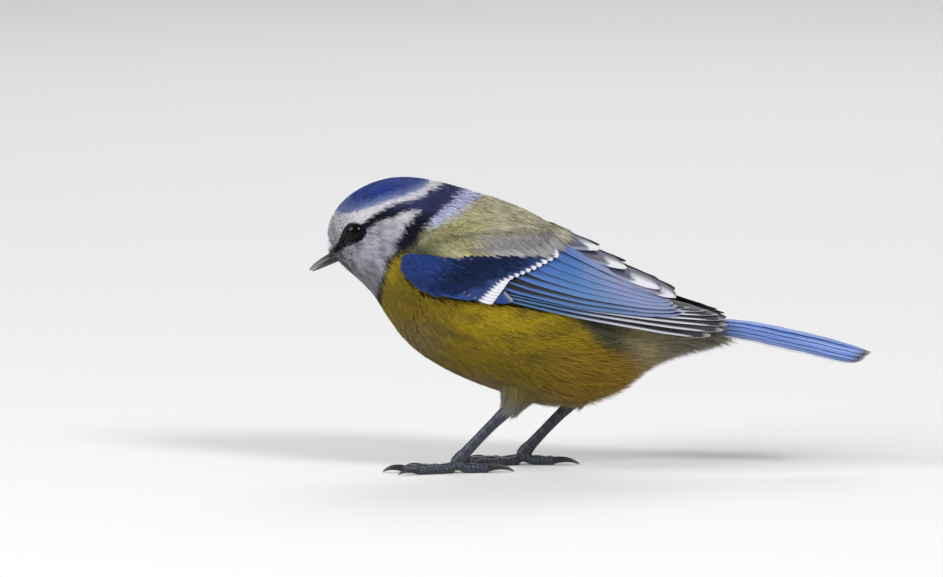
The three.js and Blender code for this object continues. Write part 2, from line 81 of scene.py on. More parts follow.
def meshPiece(name, points, faces, colours=None, patch=None, finish=None):
    corners = len(faces[0])
    faces = np.asarray(faces, int)
    mesh = bpy.data.meshes.new(name)
    mesh.vertices.add(len(points))
    mesh.vertices.foreach_set("co", (np.asarray(points) * mm).ravel())
    mesh.loops.add(faces.size)
    mesh.loops.foreach_set("vertex_index", faces.ravel())
    mesh.polygons.add(len(faces))
    mesh.polygons.foreach_set("loop_start", np.arange(0, faces.size, corners))
    mesh.polygons.foreach_set("use_smooth", np.ones(len(faces), bool))
    if colours is not None:
        layer = mesh.color_attributes.new("plumage", "FLOAT_COLOR", "POINT")
        layer.data.foreach_set("color", np.c_[colours, np.ones(len(points))].ravel())
    if patch is not None:
        mesh.uv_layers.new(name="OFBake").data.foreach_set("uv", np.asarray(patch)[faces.ravel()].ravel())
    mesh.update(calc_edges=True)
    mesh.validate()
    piece = bpy.data.objects.new(name, mesh)
    bpy.context.scene.collection.objects.link(piece)
    if finish is not None:
        mesh.materials.append(finish)
    return piece


def gridFaces(rows, columns, wrap=False, start=0):
    i, j = np.meshgrid(np.arange(rows - 1), np.arange(columns if wrap else columns - 1), indexing="ij")
    a = start + i * columns + j
    b = start + i * columns + (j + 1) % columns
    return np.stack([a, b, b + columns, a + columns], -1).reshape(-1, 4)


def tubeFaces(rows, columns):  # a closed tube, the middles of its two ends coming last
    faces = [gridFaces(rows, columns, wrap=True)]
    j = np.arange(0, columns, 2)
    for end, row in enumerate((0, rows - 1)):
        ring = row * columns + np.stack([j, j + 1, (j + 2) % columns], -1)
        cap = np.insert(ring, 0, rows * columns + end, axis=1)
        faces.append(cap if row == 0 else cap[:, ::-1])
    return np.concatenate(faces)


class Shape:  # points and faces gathered for one mesh
    def __init__(self):
        self.points, self.faces, self.colours, self.patch, self.count = [], [], [], [], 0

    def add(self, points, faces, colours, patch):
        self.points.append(points.reshape(-1, 3))
        self.faces.append(faces + self.count)
        self.colours.append(colours.reshape(-1, 3))
        self.patch.append(patch.reshape(-1, 2))
        self.count += len(self.points[-1])

    def addSheet(self, upper, lower, colours, patch):  # a closed sheet between two grids of points
        rows, columns = upper.shape[:2]
        wide = columns * 2
        faces = [gridFaces(rows, wide, wrap=True)]
        j = np.arange(columns - 1)
        for row in (0, rows - 1):
            end = row * wide + np.stack([j, j + 1, wide - 2 - j, wide - 1 - j], -1)
            faces.append(end[:, ::-1] if row == 0 else end)
        self.add(np.concatenate([upper, lower[:, ::-1]], 1), np.concatenate(faces), colours, patch)

    def piece(self, name, finish, mirror=False):
        points = np.concatenate(self.points)
        faces = np.concatenate(self.faces)
        if mirror:
            points = points * (1, -1, 1)
            faces = faces[:, ::-1]
        print(name, "has", 2 * len(faces), "triangles")
        colours, patch = np.concatenate(self.colours), np.concatenate(self.patch)
        return meshPiece(name, points, faces, colours, patch, finish)


# the body's surface

body = {
    # highest point, lowest point, half width, how far up it is widest; from the face to under the tail
    "sections": [
        (-52.7, 46.4, -51.3, 43.2, 2.0, 0.50),
        (-51.6, 50.8, -49.0, 40.6, 5.2, 0.50),
        (-48.8, 54.4, -45.9, 37.8, 8.1, 0.52),
        (-44.5, 57.1, -43.4, 35.2, 9.9, 0.50),
        (-39.5, 58.5, -41.6, 32.4, 11.0, 0.48),
        (-34.1, 58.4, -39.8, 29.6, 12.2, 0.46),
        (-28.7, 57.1, -37.2, 26.4, 14.4, 0.46),
        (-23.1, 55.5, -33.4, 23.1, 16.8, 0.46),
        (-17.5, 53.7, -27.1, 19.5, 18.5, 0.46),
        (-11.9, 51.3, -19.1, 16.3, 19.2, 0.46),
        (-6.1, 47.7, -10.1, 13.7, 18.6, 0.47),
        (-0.1, 43.0, -1.1, 14.6, 16.2, 0.48),
        (5.9, 38.2, 5.5, 17.2, 12.6, 0.50),
        (11.9, 34.2, 10.7, 21.4, 8.8, 0.50),
        (17.5, 31.6, 16.5, 24.0, 6.2, 0.50),
        (21.9, 30.2, 21.9, 25.4, 4.8, 0.50),
        (26.0, 29.2, 26.0, 26.4, 3.8, 0.50),
        (30.5, 28.4, 30.5, 26.9, 2.6, 0.50),
    ],
    "depth": [0.35, 0.4, 0.45, 0.5, 0.6, 0.8, 1.0, 1.1, 1.2, 1.3, 1.4, 1.4, 1.3, 1.1, 0.9, 0.8, 0.6, 0.5],
    "rumpEnd": 15.0,  # where the skin stops at the tail's root
}
sections = np.array(body["sections"])
lastSection = len(sections) - 1


def bodyAt(place, angle):  # place counts sections, angle runs up from the right side
    row = through(sections, place / lastSection)
    up = np.sin(angle)
    share = row[..., 5] + np.where(up > 0, 1 - row[..., 5], row[..., 5]) * up
    x = lerp(row[..., 2], row[..., 0], share)
    z = lerp(row[..., 3], row[..., 1], share)
    return np.stack([x, row[..., 4] * np.cos(angle), z], -1)


def coatDepth(place):
    return through(body["depth"], place / lastSection)


# the wings' surface

wingBed = {
    "first": -40,
    "last": 30,
    "halfWidth": [12.6, 16.2, 18.0, 18.1, 16.3, 12.6, 8.8, 6.9],
    "middle": [41.0, 37.4, 35.4, 34.2, 32.6, 30.6, 28.5, 26.9],
    "top": [54.0, 54.5, 53.0, 49.5, 43.8, 38.4, 33.7, 30.8],
    "xs": [-39.4, -37.4, -34, -30, -24, -17, -10, -4, 2, 8, 14, 20, 26],
    "low": [41.0, 38.4, 36.2, 35.2, 34.8, 34.4, 33.0, 31.9, 30.8, 29.4, 28.2, 26.8, 25.4],
    "high": [44.4, 46.2, 47.2, 47.6, 47.8, 47.9, 47.9, 48.4, 60, 60, 60, 60, 60],
}


def bedRow(x):
    t = (x - wingBed["first"]) / (wingBed["last"] - wingBed["first"])
    return (through(wingBed[key], t) for key in ("halfWidth", "middle", "top"))


def onWingBed(x, angle, lift=0.0):  # the left wing's side
    halfWidth, middle, top = bedRow(x)
    y = -(halfWidth + lift) * np.cos(angle)
    return np.stack([np.broadcast_to(x, y.shape), y, middle + (top - middle + lift) * np.sin(angle)], -1)


def wingAngle(x, z):
    halfWidth, middle, top = bedRow(x)
    return np.arcsin(np.clip((z - middle) / (top - middle), -0.9, 0.999))


def wingEdges(x):  # the folded wing's lower and upper edge
    return (np.interp(x, wingBed["xs"], wingBed[key]) for key in ("low", "high"))


def underWing(points):  # sinks points of the skin that would come through a wing
    x, y, z = np.moveaxis(points, -1, 0)
    halfWidth, middle, top = bedRow(x)
    low, high = wingEdges(x)
    out = np.hypot(y / (halfWidth - 0.6), (z - middle) / (top - middle - 0.6))
    inside = (x > -39) & (z > low - 0.5) & (z < high + 0.3)
    scale = np.where(inside & (out > 1), 1 / np.maximum(out, 1), 1)
    return np.stack([x, y * scale, middle + (z - middle) * scale], -1)


def wingCovers(points, margin):  # whether a folded wing hides this place on the body
    x, y, z = np.moveaxis(points, -1, 0)
    low, high = wingEdges(x)
    onRidge = (x > -6) & (np.abs(y) < 4.5) & (z > 27)
    within = (x > wingBed["xs"][0] + margin) & (x < 24) & (z > low + margin) & (z < high - margin)
    return within & ~onRidge


# markings

hue = {
    "white": (0.86, 0.84, 0.90),
    "cheek": (0.50, 0.49, 0.56),
    "cheekDark": (0.13, 0.13, 0.17),
    # painted shade: grey for the white of the lower face and chin, which lie in shade under light from above
    "chinShade": (0.24, 0.23, 0.26),
    "capFront": (0.018, 0.060, 0.34),
    "capRear": (0.075, 0.095, 0.34),
    "capPale": (0.24, 0.30, 0.58),
    "navy": (0.002, 0.003, 0.014),
    "nape": (0.036, 0.042, 0.14),
    "napePatch": (0.60, 0.62, 0.88),
    "mantle": (0.50, 0.47, 0.20),
    "mantlePale": (0.66, 0.61, 0.43),
    "mantleDark": (0.07, 0.085, 0.05),
    "scapular": (0.44, 0.43, 0.49),
    "yellow": (0.27, 0.19, 0.008),
    "yellowBright": (0.48, 0.34, 0.012),
    "yellowOlive": (0.13, 0.105, 0.016),
    "yellowWarm": (0.38, 0.24, 0.025),
    "bellyBeige": (0.28, 0.20, 0.11),
    "flankGrey": (0.055, 0.068, 0.060),
    "vent": (0.46, 0.38, 0.20),
    "undertail": (0.30, 0.28, 0.20),
    "rump": (0.22, 0.26, 0.20),
    "thigh": (0.27, 0.21, 0.05),
    "thighGrey": (0.25, 0.26, 0.25),
    "wingBlue": (0.020, 0.060, 0.26),
    "wingBright": (0.045, 0.115, 0.46),
    "wingDeep": (0.010, 0.022, 0.080),
    "featherDark": (0.005, 0.005, 0.009),
    "featherGrey": (0.070, 0.066, 0.082),
    "edgeBlue": (0.070, 0.20, 0.45),
    "edgeLavender": (0.26, 0.31, 0.54),
    "edgeWhite": (0.80, 0.80, 0.86),
    "tertial": (0.050, 0.055, 0.10),
    "tertialPale": (0.30, 0.31, 0.44),
    "tailBlue": (0.11, 0.20, 0.56),
    "tailPale": (0.27, 0.39, 0.78),
}
hue = {name: np.array(value) for name, value in hue.items()}

# Edges of the markings as the side view shows them from 6 degrees above: how far along and how high.
markings = {
    "viewSlope": math.tan(math.radians(6)),
    "capEdge": [(-51.4, 52.4), (-49.7, 51.4), (-47.4, 51.7), (-43.8, 52.8), (-40.2, 53.8), (-36.4, 54.9),
                (-32.6, 56.6), (-30.1, 60)],
    "stripeTop": [(-51.6, 43.6), (-50.4, 45.6), (-49.2, 48.4), (-47.9, 49.4), (-45.3, 49.4), (-43.0, 51.0),
                  (-40.5, 52.4), (-37.7, 53.5), (-34.4, 54.2), (-31.8, 55.4), (-29.7, 56.8), (-28.2, 60)],
    "stripeBottom": [(-51.6, 42.6), (-49.7, 44.0), (-48.3, 45.0), (-46.5, 45.2), (-45.3, 46.0), (-43.8, 48.3),
                     (-41.8, 49.8), (-38.7, 50.5), (-35.9, 51.7), (-33.6, 52.0)],
    "cheekRear": [(-42.8, 33.0), (-42.2, 36.0), (-41.0, 39.1), (-40.2, 41.9), (-38.7, 44.0), (-37.7, 46.5),
                  (-35.9, 49.3), (-33.6, 51.9)],
    "collarRear": [(-41.8, 31.0), (-41.3, 36.0), (-40.4, 39.1), (-39.0, 41.9), (-36.6, 43.4), (-34.9, 44.9),
                   (-33.6, 46.6), (-31.6, 49.8), (-29.3, 51.9), (-27.5, 53.4), (-25.2, 55.8)],
    "patchRear": [(-41.0, 31.0), (-39.0, 41.9), (-34.4, 45.0), (-31.3, 48.0), (-27.5, 50.1), (-24.2, 52.4),
                  (-21.0, 54.7)],
}


def heightOf(edge, along):  # an edge's height at a place along the bird
    edge = np.array(markings[edge])
    return np.interp(along, edge[:, 0], edge[:, 1])


def alongOf(edge, high):  # how far along an edge lies at a height
    edge = np.array(markings[edge])
    return np.interp(high, edge[:, 1], edge[:, 0])


def ripple(points, scale, seed):  # smooth noise from -1 to 1
    total = 0
    for k in range(4):
        turn = seed * 1.7 + k * 2.4
        wave = np.array([math.cos(turn), math.sin(turn * 1.3), math.cos(turn * 0.7 + 1)])
        total = total + np.sin(points @ wave * (1 + 0.37 * k) / scale + turn * 3)
    return total / 4


def painted(first, like, *layers):  # a hue over a grid, then others over it, each by its own mask
    colour = coloured(like.shape, hue[first])
    for name, mask in layers:
        colour = blended(colour, hue[name] if isinstance(name, str) else name, mask)
    return colour


def plumageAt(points):
    x, z = points[..., 0], points[..., 2]
    side = np.abs(points[..., 1])
    high = z - side * markings["viewSlope"]

    def grain(stretchX, stretchZ, scale, seed):
        return ripple(points * (stretchX, 1, stretchZ), scale, seed)

    lines = grain(0.35, 1.7, 0.9, 9)
    back = painted(
        "mantle", x,
        ("mantlePale", soft(x + 20 + 0.5 * (z - 50), 14)),
        ("mantlePale", 0.5 * soft(lines - 0.2, 0.6)),
        ("mantleDark", 0.45 * soft(-0.25 - lines, 0.6)),
        ("mantleDark", 0.9 * soft(47.2 - high, 4) * soft(-28 - x, 7)),
        ("scapular", 0.8 * soft(47.4 - high, 2.4) * soft(x + 19, 8)),
        ("rump", soft(x - 2, 6)),
    )
    stripe = heightOf("stripeBottom", x)
    below = soft(stripe + 0.5 - high, 1)
    mottled = soft(grain(0.7, 1.5, 0.5, 3) + 0.7 * grain(0.6, 1.2, 1.3, 8) - 0.1, 0.6)
    face = painted(
        "white", x,
        ("cheek", soft(50 - high, 6) * below),
        ("cheekDark", 0.7 * mottled * soft(50.5 - high, 5) * below),
        # painted shade: the white greys downwards towards the chin
        ("chinShade", soft(38.5 - high, 5) * 0.8),
        ("navy", 0.85 * soft(1.3 - side, 1.4) * soft(40.6 - z, 2)),
    )
    inCheek = soft(alongOf("cheekRear", high) - x, 0.6) * soft(stripe - high, 0.5)
    brow = soft(high - heightOf("stripeTop", x), 0.6)
    ahead = soft(alongOf("collarRear", high) - x, 0.8)
    collar = painted("navy", x, ("nape", soft(high - 50.8 + 0.15 * (x + 30), 3.4)))
    overCap = high - heightOf("capEdge", x)
    cap = painted(
        "capFront", x,
        ("capRear", soft(x + 38, 9)),
        (hue["capRear"] * 1.25, 0.6 * soft(grain(0.35, 1.5, 0.5, 5) - 0.1, 0.5)),
        (hue["capFront"] * 0.5, 0.6 * soft(grain(0.35, 1.6, 0.45, 12) - 0.2, 0.5)),
        ("capPale", 0.8 * soft(1.2 - overCap, 1.6)),
        ("capPale", 0.6 * soft(-47.5 - x, 3) * soft(55 - high, 2)),
    )
    # painted highlight: a band along the middle of the flank painted brighter yellow, where light falls on it
    lit = soft(5 - np.abs(high - 30.5 - 0.05 * x), 9) * soft(x + 25, 12) * soft(6 - x, 10)
    streak = grain(0.45, 1.6, 2.0, 2) + 0.6 * grain(0.4, 1.4, 0.8, 6)
    flank = soft(5.4 - np.hypot((x - 4.5 - 0.5 * (30 - high)) / 1.15, (high - 29.5) / 1.1), 3.5)
    return painted(
        "yellow", x,
        # the flank's painted highlight
        ("yellowBright", lit),
        ("yellowBright", 0.8 * soft(-37.8 - x + 0.3 * (high - 40), 1.6) * soft(high - 37, 5)),
        ("yellowOlive", 0.75 * soft(streak - 0.05, 0.8) * soft(x + 38, 16)),
        ("yellowWarm", soft(x + 8, 10) * soft(24 - high, 5)),
        ("bellyBeige", soft(19.5 - z - 0.25 * np.abs(x + 22), 5) * 0.85),
        ("bellyBeige", 0.5 * soft(-30 - x, 8) * soft(29 - high, 5)),
        ("flankGrey", 0.9 * flank),
        ("vent", soft(x - 8.5 + 0.45 * (z - 26), 7)),
        ("undertail", soft(x - 15, 8)),
        (back, soft(high - np.interp(x, [-40, -36, 0, 22], [43.2, 43.0, 38.0, 29.4]), 1.2)),
        ("napePatch", soft(alongOf("patchRear", high) - x, 3.5) * soft(high - 48.4, 2.4)),
        (collar, ahead),
        (face, np.maximum(inCheek, brow) * ahead),
        (cap, soft(overCap, 0.7) * soft(x + 52.0, 1.2)),
    )


# finishes


class Wire:  # one output of a node, for sums in plain Python
    def __init__(self, finish, socket):
        self.finish, self.socket = finish, socket

    def sum(self, operation, a, b):
        return self.finish.node("ShaderNodeMath", {"operation": operation}, {0: a, 1: b})

    def __add__(self, other):
        return self.sum("ADD", self, other)

    __radd__ = __add__

    def __sub__(self, other):
        return self.sum("SUBTRACT", self, other)

    def __rsub__(self, other):
        return self.sum("SUBTRACT", other, self)

    def __mul__(self, other):
        return self.sum("MULTIPLY", self, other)

    __rmul__ = __mul__

    def atLeast(self, least):
        return self.sum("MAXIMUM", self, least)

    def sine(self):
        return self.sum("SINE", self, 0)


class Finish:  # a material under construction
    def __init__(self, name, **plain):
        self.material = bpy.data.materials.new(name)
        self.material.use_nodes = True
        self.tree = self.material.node_tree
        self.shader = self.tree.nodes["Principled BSDF"]
        for socket, value in plain.items():
            self.shader.inputs[socket.replace("_", " ")].default_value = value

    def node(self, kind, settings=None, inputs=None, out=0):
        made = self.tree.nodes.new(kind)
        for key, value in (settings or {}).items():
            setattr(made, key, value)
        for key, value in (inputs or {}).items():
            if isinstance(value, Wire):
                self.tree.links.new(value.socket, made.inputs[key])
            else:
                made.inputs[key].default_value = value
        return Wire(self, made.outputs[out])

    def stored(self, name, out=0):  # what a mesh says of each of its points
        return self.node("ShaderNodeAttribute", {"attribute_name": name}, out=out)

    def mix(self, factor, a, b, how="MIX"):
        settings = {"data_type": "RGBA", "blend_type": how}
        return self.node("ShaderNodeMix", settings, {0: factor, 6: a, 7: b}, 2)

    def noise(self, scale, detail=3.0, stretch=(1, 1, 1)):
        place = self.node("ShaderNodeTexCoord", out=3)
        placed = self.node("ShaderNodeMapping", inputs={0: place, 3: stretch})
        return self.node("ShaderNodeTexNoise", inputs={"Vector": placed, "Scale": scale, "Detail": detail})

    def bump(self, height, distance, strength=0.6):
        return self.node("ShaderNodeBump", inputs={"Height": height, "Distance": distance, "Strength": strength})

    def feed(self, **wires):
        for socket, wire in wires.items():
            self.tree.links.new(wire.socket, self.shader.inputs[socket.replace("_", " ")])
        return self.material


def grey(value):
    return (value, value, value, 1)


def plumageFinish(name, roughness, sheen, streak):
    finish = Finish(name, Sheen_Weight=sheen, Sheen_Roughness=0.5, Specular_IOR_Level=0.1)
    colour = finish.stored("plumage")
    tone = finish.noise(900, 2)
    shade = finish.mix(streak, colour, finish.mix(1.0, colour, grey(0.5), "MULTIPLY"))
    return finish.feed(
        Base_Color=finish.mix(tone * 1.6 - 0.3, shade, colour),
        Roughness=roughness + tone * 0.2,
        Normal=finish.bump(tone, 0.00005),
    )


def vaneFinish(name, roughness):
    finish = Finish(name, Sheen_Weight=0.04, Sheen_Roughness=0.4, Specular_IOR_Level=0.25)
    colour = finish.stored("plumage")
    barbs = finish.stored("barbs", 2)
    line = (barbs * (2 * math.pi)).sine() * 0.5 + 0.5
    tone = finish.noise(500, 3)
    dark = finish.mix(1.0, colour, grey(0.72), "MULTIPLY")
    return finish.feed(
        Base_Color=finish.mix(line * 0.35 + tone * 0.5, colour, dark),
        Roughness=roughness + tone * 0.15,
        Normal=finish.bump(line, 0.00004, 0.5),
    )


coatFinish = plumageFinish("coat_plumage", 0.62, 0.1, 0.5)
skinFinish = plumageFinish("skin_plumage", 0.85, 0.03, 0.9)
flightFinish = vaneFinish("flight_plumage", 0.42)


# tufts: short feathers of a few barbs each


def spread(count, start):  # evenly scattered points in the unit square
    k = np.arange(start, start + count)
    return np.modf(k * 0.7548776662)[0], np.modf(k * 0.5698402910)[0]


def unwrapOf(surface, p, q):
    if surface is bodyAt:
        return np.stack([np.mod(q / (2 * math.pi), 1), p / lastSection], -1)
    return np.stack([np.mod((q + 1.2) / 3.2, 1), np.clip((p + 45) / 90, 0, 1)], -1)


def slopes(surface, p, q, step=0.02):  # how a surface runs along p and along q
    alongP = (surface(p + step, q) - surface(p - step, q)) / (2 * step)
    alongQ = (surface(p, q + step) - surface(p, q - step)) / (2 * step)
    return alongP, alongQ


def tufts(shape, surface, p, q, settings, colour):
    count, barbs, stations = len(p), settings["barbs"], settings["stations"]
    s = np.linspace(0, 1, stations)
    perP, perQ = (np.linalg.norm(slope, axis=-1)[:, None, None] for slope in slopes(surface, p, q))
    # the feather's direction, turned from the surface's first axis towards its second
    turn = settings["turn"] + rng.normal(0, settings["untidy"], count)
    length = settings["length"] * rng.uniform(0.8, 1.2, count)
    fan = np.linspace(-1, 1, barbs)[None, :] * settings["fan"] + rng.normal(0, 0.06, (count, barbs))
    reach = length[:, None] * (1 - 0.3 * (fan / settings["fan"]) ** 2) * rng.uniform(0.85, 1.1, (count, barbs))
    heading = turn[:, None, None] + fan[..., None] * (1 - 0.55 * s)
    pAll = p[:, None, None] + reach[..., None] * s * np.cos(heading) / perP
    qAll = q[:, None, None] + reach[..., None] * s * np.sin(heading) / perQ
    centre = surface(pAll, qAll)
    dp, dq = slopes(surface, pAll[:, barbs // 2], qAll[:, barbs // 2])
    normal = unit(np.cross(dq, dp))
    rise = 1 - (1 - s) ** settings["curl"]
    tipLift = settings["loose"] * rng.uniform(-0.3, 1, (count, barbs, 1)) * s**2
    height = tipLift - np.asarray(settings["depth"])[..., None, None] * (1 - rise)
    centre = centre + normal[:, None] * height[..., None]
    heads = unit(np.gradient(centre, axis=2))
    sideways = unit(np.cross(normal[:, None], heads))
    roll = rng.normal(0, 0.35, (count, barbs, 1, 1))
    sideways = unit(sideways + normal[:, None] * roll)
    taper = np.interp(s, [0, 0.35, 0.75, 1], [0.8, 1, 0.75, 0.08])
    half = settings["halfWidth"] * taper[None, None, :, None] * rng.uniform(0.8, 1.2, (count, barbs, 1, 1))
    points = np.stack([centre - sideways * half, centre + sideways * half], 3)
    i = np.arange(count * barbs)[:, None] * stations * 2 + np.arange(stations - 1) * 2
    faces = np.stack([i, i + 1, i + 3, i + 2], -1).reshape(-1, 4)
    gain = settings["rootShade"] + (1 - settings["rootShade"]) * s**0.7
    gain = gain * rng.uniform(1 - settings["vary"], 1 + settings["vary"], (count, barbs, 1))
    gain = gain * rng.uniform(0.92, 1.08, (count, 1, 1))
    colours = colour[:, None, None, None, :] * gain[..., None, None] * np.ones((1, 1, 1, 2, 1))
    root = unwrapOf(surface, p, q)
    patchU = root[:, None, None, None, 0] + 0.003 * (fan / settings["fan"])[..., None, None] * 0.5
    patchU = patchU + np.array([-0.0002, 0.0002])
    patchV = root[:, None, None, None, 1] + 0.003 * s[None, None, :, None]
    patch = np.stack(np.broadcast_arrays(patchU, patchV), -1)
    patch = np.broadcast_to(patch, (count, barbs, stations, 2, 2))
    shape.add(points, faces, np.clip(colours, 0, 1), patch)


def scatter(surface, pRange, qRange, perMm2, start, keep):  # roots over a surface, evenly by area
    pTry, qTry = (np.linspace(*r, 60) for r in (pRange, qRange))
    pGrid, qGrid = np.meshgrid(pTry, qTry, indexing="ij")

    def areaAt(p, q):
        return np.linalg.norm(np.cross(*slopes(surface, p, q, 0.01)), axis=-1)

    peak = areaAt(pGrid, qGrid).max()
    count = int(peak * (pRange[1] - pRange[0]) * (qRange[1] - qRange[0]) * perMm2)
    u, v = spread(count, start)
    p, q = lerp(*pRange, u), lerp(*qRange, v)
    lucky = rng.uniform(0, 1, count) < areaAt(p, q) / peak
    lucky &= keep(surface(p, q), p, q)
    return p[lucky], q[lucky]


coat = {
    "head": {"places": (0.06, 5.3), "perMm2": 14.0, "halfWidth": 0.075, "mottle": 0.12,
             "barbs": 5, "stations": 3, "rootShade": 0.8, "vary": 0.2},
    "back": {"places": (5.1, 10.6), "perMm2": 5.0, "length": 4.4, "halfWidth": 0.085, "mottle": 0.25},
    "breast": {"places": (5.1, 9.3), "perMm2": 4.8, "length": 3.8, "halfWidth": 0.09, "mottle": 0.3},
    "belly": {"places": (9.1, 12.3), "perMm2": 4.1, "length": 4.6, "halfWidth": 0.095, "mottle": 0.3},
    "rump": {"places": (12.1, 15.2), "perMm2": 5.0, "length": 4.8, "halfWidth": 0.095, "mottle": 0.3},
}
common = {"barbs": 7, "stations": 4, "turn": 0.0, "untidy": 0.12, "fan": 0.34, "curl": 2.2, "loose": 0.35,
          "rootShade": 0.62, "vary": 0.12}


def shown(surface, p, q, reach):  # the places that the visible ends of tufts cover
    return surface(p + reach / np.linalg.norm(slopes(surface, p, q)[0], axis=-1), q)


def coatPiece(name, part, keep, start):
    def kept(points, p, q):
        return keep(points) & ~wingCovers(points, 0.6)

    p, q = scatter(bodyAt, part["places"], (0, 2 * math.pi), part["perMm2"], start, kept)
    settings = {**common, **part, "depth": coatDepth(p) + 0.15}
    if part is coat["head"]:
        settings["length"] = lerp(0.95, 2.6, soft(p - 2.8, 4.4))
        settings["loose"] = lerp(0.36, 0.14, soft(p - 0.9, 1.2))[:, None, None]
    if part is coat["back"] or part is coat["breast"]:
        settings["length"] = part["length"] * lerp(0.6, 1, soft(p - 6.6, 2.6))
    if part["places"][0] > 9:
        under = soft(-0.2 - np.sin(q), 0.8) * soft(bodyAt(p, q)[:, 0] + 12, 14)
        settings["loose"] = lerp(0.35, 2.4, under)[:, None, None]
        settings["length"] = part["length"] * lerp(1, 1.4, under)
    ends = shown(bodyAt, p, q, 0.85 * settings["length"])
    colour = plumageAt(ends + rng.normal(0, part["mottle"], ends.shape))
    shape = Shape()
    tufts(shape, bodyAt, p, q, settings, colour)
    return shape.piece(name, coatFinish)


def clearOfFace(points):  # leaves the eyes and the bill free
    side = np.abs(points[..., 1])
    eyeGap = np.hypot(points[..., 0] + 46.9, points[..., 2] - 48.3) > 1.75
    return (eyeGap | (side < 4)) & (np.hypot(points[..., 0] + 53, points[..., 2] - 44.6) > 1.1)


def onSide(side, keep=None):
    return lambda points: (points[..., 1] * side > 0) & (keep(points) if keep else True)


coatPieces = {}


def addCoat(name, part, keep, start):
    coatPieces[name] = coatPiece(name, coat[part], keep, start)


addCoat("coatBack", "back", lambda points: points[..., 2] > 43, 9000)
for name, side in (("Left", -1), ("Right", 1)):
    addCoat("coatHead" + name, "head", onSide(side, clearOfFace), 0)
    addCoat("coatBreast" + name, "breast", onSide(side, lambda points: points[..., 2] <= 43), 20000)
    addCoat("coatBelly" + name, "belly", onSide(side), 30000)
addCoat("coatRump", "rump", lambda points: points[..., 2] > 0, 40000)


# skin


def skin():
    rows, columns = 170, 120
    place, angle = np.meshgrid(
        np.linspace(0, body["rumpEnd"], rows), np.arange(columns) / columns * 2 * math.pi, indexing="ij"
    )
    points = bodyAt(place, angle)
    dp = np.gradient(points, axis=0)
    dq = np.roll(points, -1, 1) - np.roll(points, 1, 1)
    normal = unit(np.cross(dq, dp))
    points = underWing(points - normal * coatDepth(place)[..., None])
    # painted shade: the skin takes the plumage's colours darkened, to 0.9 on the head and 0.6 behind it, for the
    # shade under the coat
    colours = plumageAt(points) * lerp(0.9, 0.6, soft(place - 5, 2))[..., None]
    patch = unwrapOf(bodyAt, place, angle)
    ends = [points[0].mean(0), points[-1].mean(0)]
    allPoints = np.concatenate([points.reshape(-1, 3), ends])
    allColours = np.concatenate([colours.reshape(-1, 3), np.tile(hue["navy"], (2, 1))])
    allPatch = np.concatenate([patch.reshape(-1, 2), [(0.5, 0.0), (0.5, 1.0)]])
    return meshPiece("skin", allPoints, tubeFaces(rows, columns), allColours, allPatch, skinFinish)


bristles = {
    "root": (-50.9, 44.6),
    "ahead": (-0.911, -0.412),
    "length": 3.0,
    "radii": (1.9, 1.35),
    "count": 620,
    # radius, place along the bill and count of each ring over the bill's root
    "rings": ((2.35, 0.0, 120), (1.95, 0.3, 100), (1.5, 0.5, 80),
              (1.05, 0.5, 56), (0.6, 0.5, 32), (0.25, 0.5, 14)),
    "ringRise": (0.61, -0.5),
    "ringTaper": 0.55,
}


def muzzleAt(t, angle):  # a cone round the root of the bill, t along it, angle as on the body
    (x, z), (aheadX, aheadZ) = bristles["root"], bristles["ahead"]
    size = lerp(*bristles["radii"], np.asarray(t)) * 0.95
    run, rise = bristles["length"] * t, size * np.sin(angle)
    onward = x + aheadX * run - aheadZ * rise
    return np.stack([onward, -size * np.cos(angle), z + aheadZ * run - aheadX * rise], -1)


def ringAt(radius, start):  # a cone over the root of the bill, t in mm ahead
    def surface(t, angle):
        (x, z), (aheadX, aheadZ) = bristles["root"], bristles["ahead"]
        size, run = radius * (1 - bristles["ringTaper"] * np.asarray(t)), start + t
        rise = bristles["ringRise"][0] + bristles["ringRise"][1] * t + size * np.sin(angle)
        onward = x + aheadX * run + aheadZ * rise
        return np.stack([onward, -size * np.cos(angle), z + aheadZ * run - aheadX * rise], -1)

    return surface


def bristlePiece():
    u, angle = spread(bristles["count"], 80000)
    t, angle = lerp(-0.5, 0.15, u), angle * 2 * math.pi
    upper = soft(np.sin(angle) + 0.15, 0.5)
    settings = {**common, "length": lerp(0.8, 1.5, upper), "barbs": 3, "halfWidth": 0.05, "fan": 0.3,
                "depth": 0.35, "loose": 0.25, "rootShade": 0.8, "untidy": 0.25}
    lore = soft(0.3 - np.abs(np.sin(angle) + 0.02), 0.25)
    # painted shade: the lower bristles take the shaded grey of the chin, the upper ones white
    colour = painted("chinShade", t, ("white", upper), ("navy", lore * 0.9))
    shape = Shape()
    tufts(shape, muzzleAt, t, angle, settings, colour)
    settings["length"], settings["depth"] = 1.15, 0.2
    for number, (radius, start, count) in enumerate(bristles["rings"]):
        u, angle = spread(count, 81000 + 500 * number)
        angle = lerp(-0.3, math.pi + 0.3, angle)
        colour = painted("white", u, ("navy", soft(0.1 - np.sin(angle), 0.25)))
        tufts(shape, ringAt(radius, start), 0.12 * u, angle, settings, colour)
    return shape.piece("coatBristles", coatFinish)


coatPieces["coatBristles"] = bristlePiece()
skinPiece = skin()
print("skin and coat are made")


# vanes of the wings and the tail


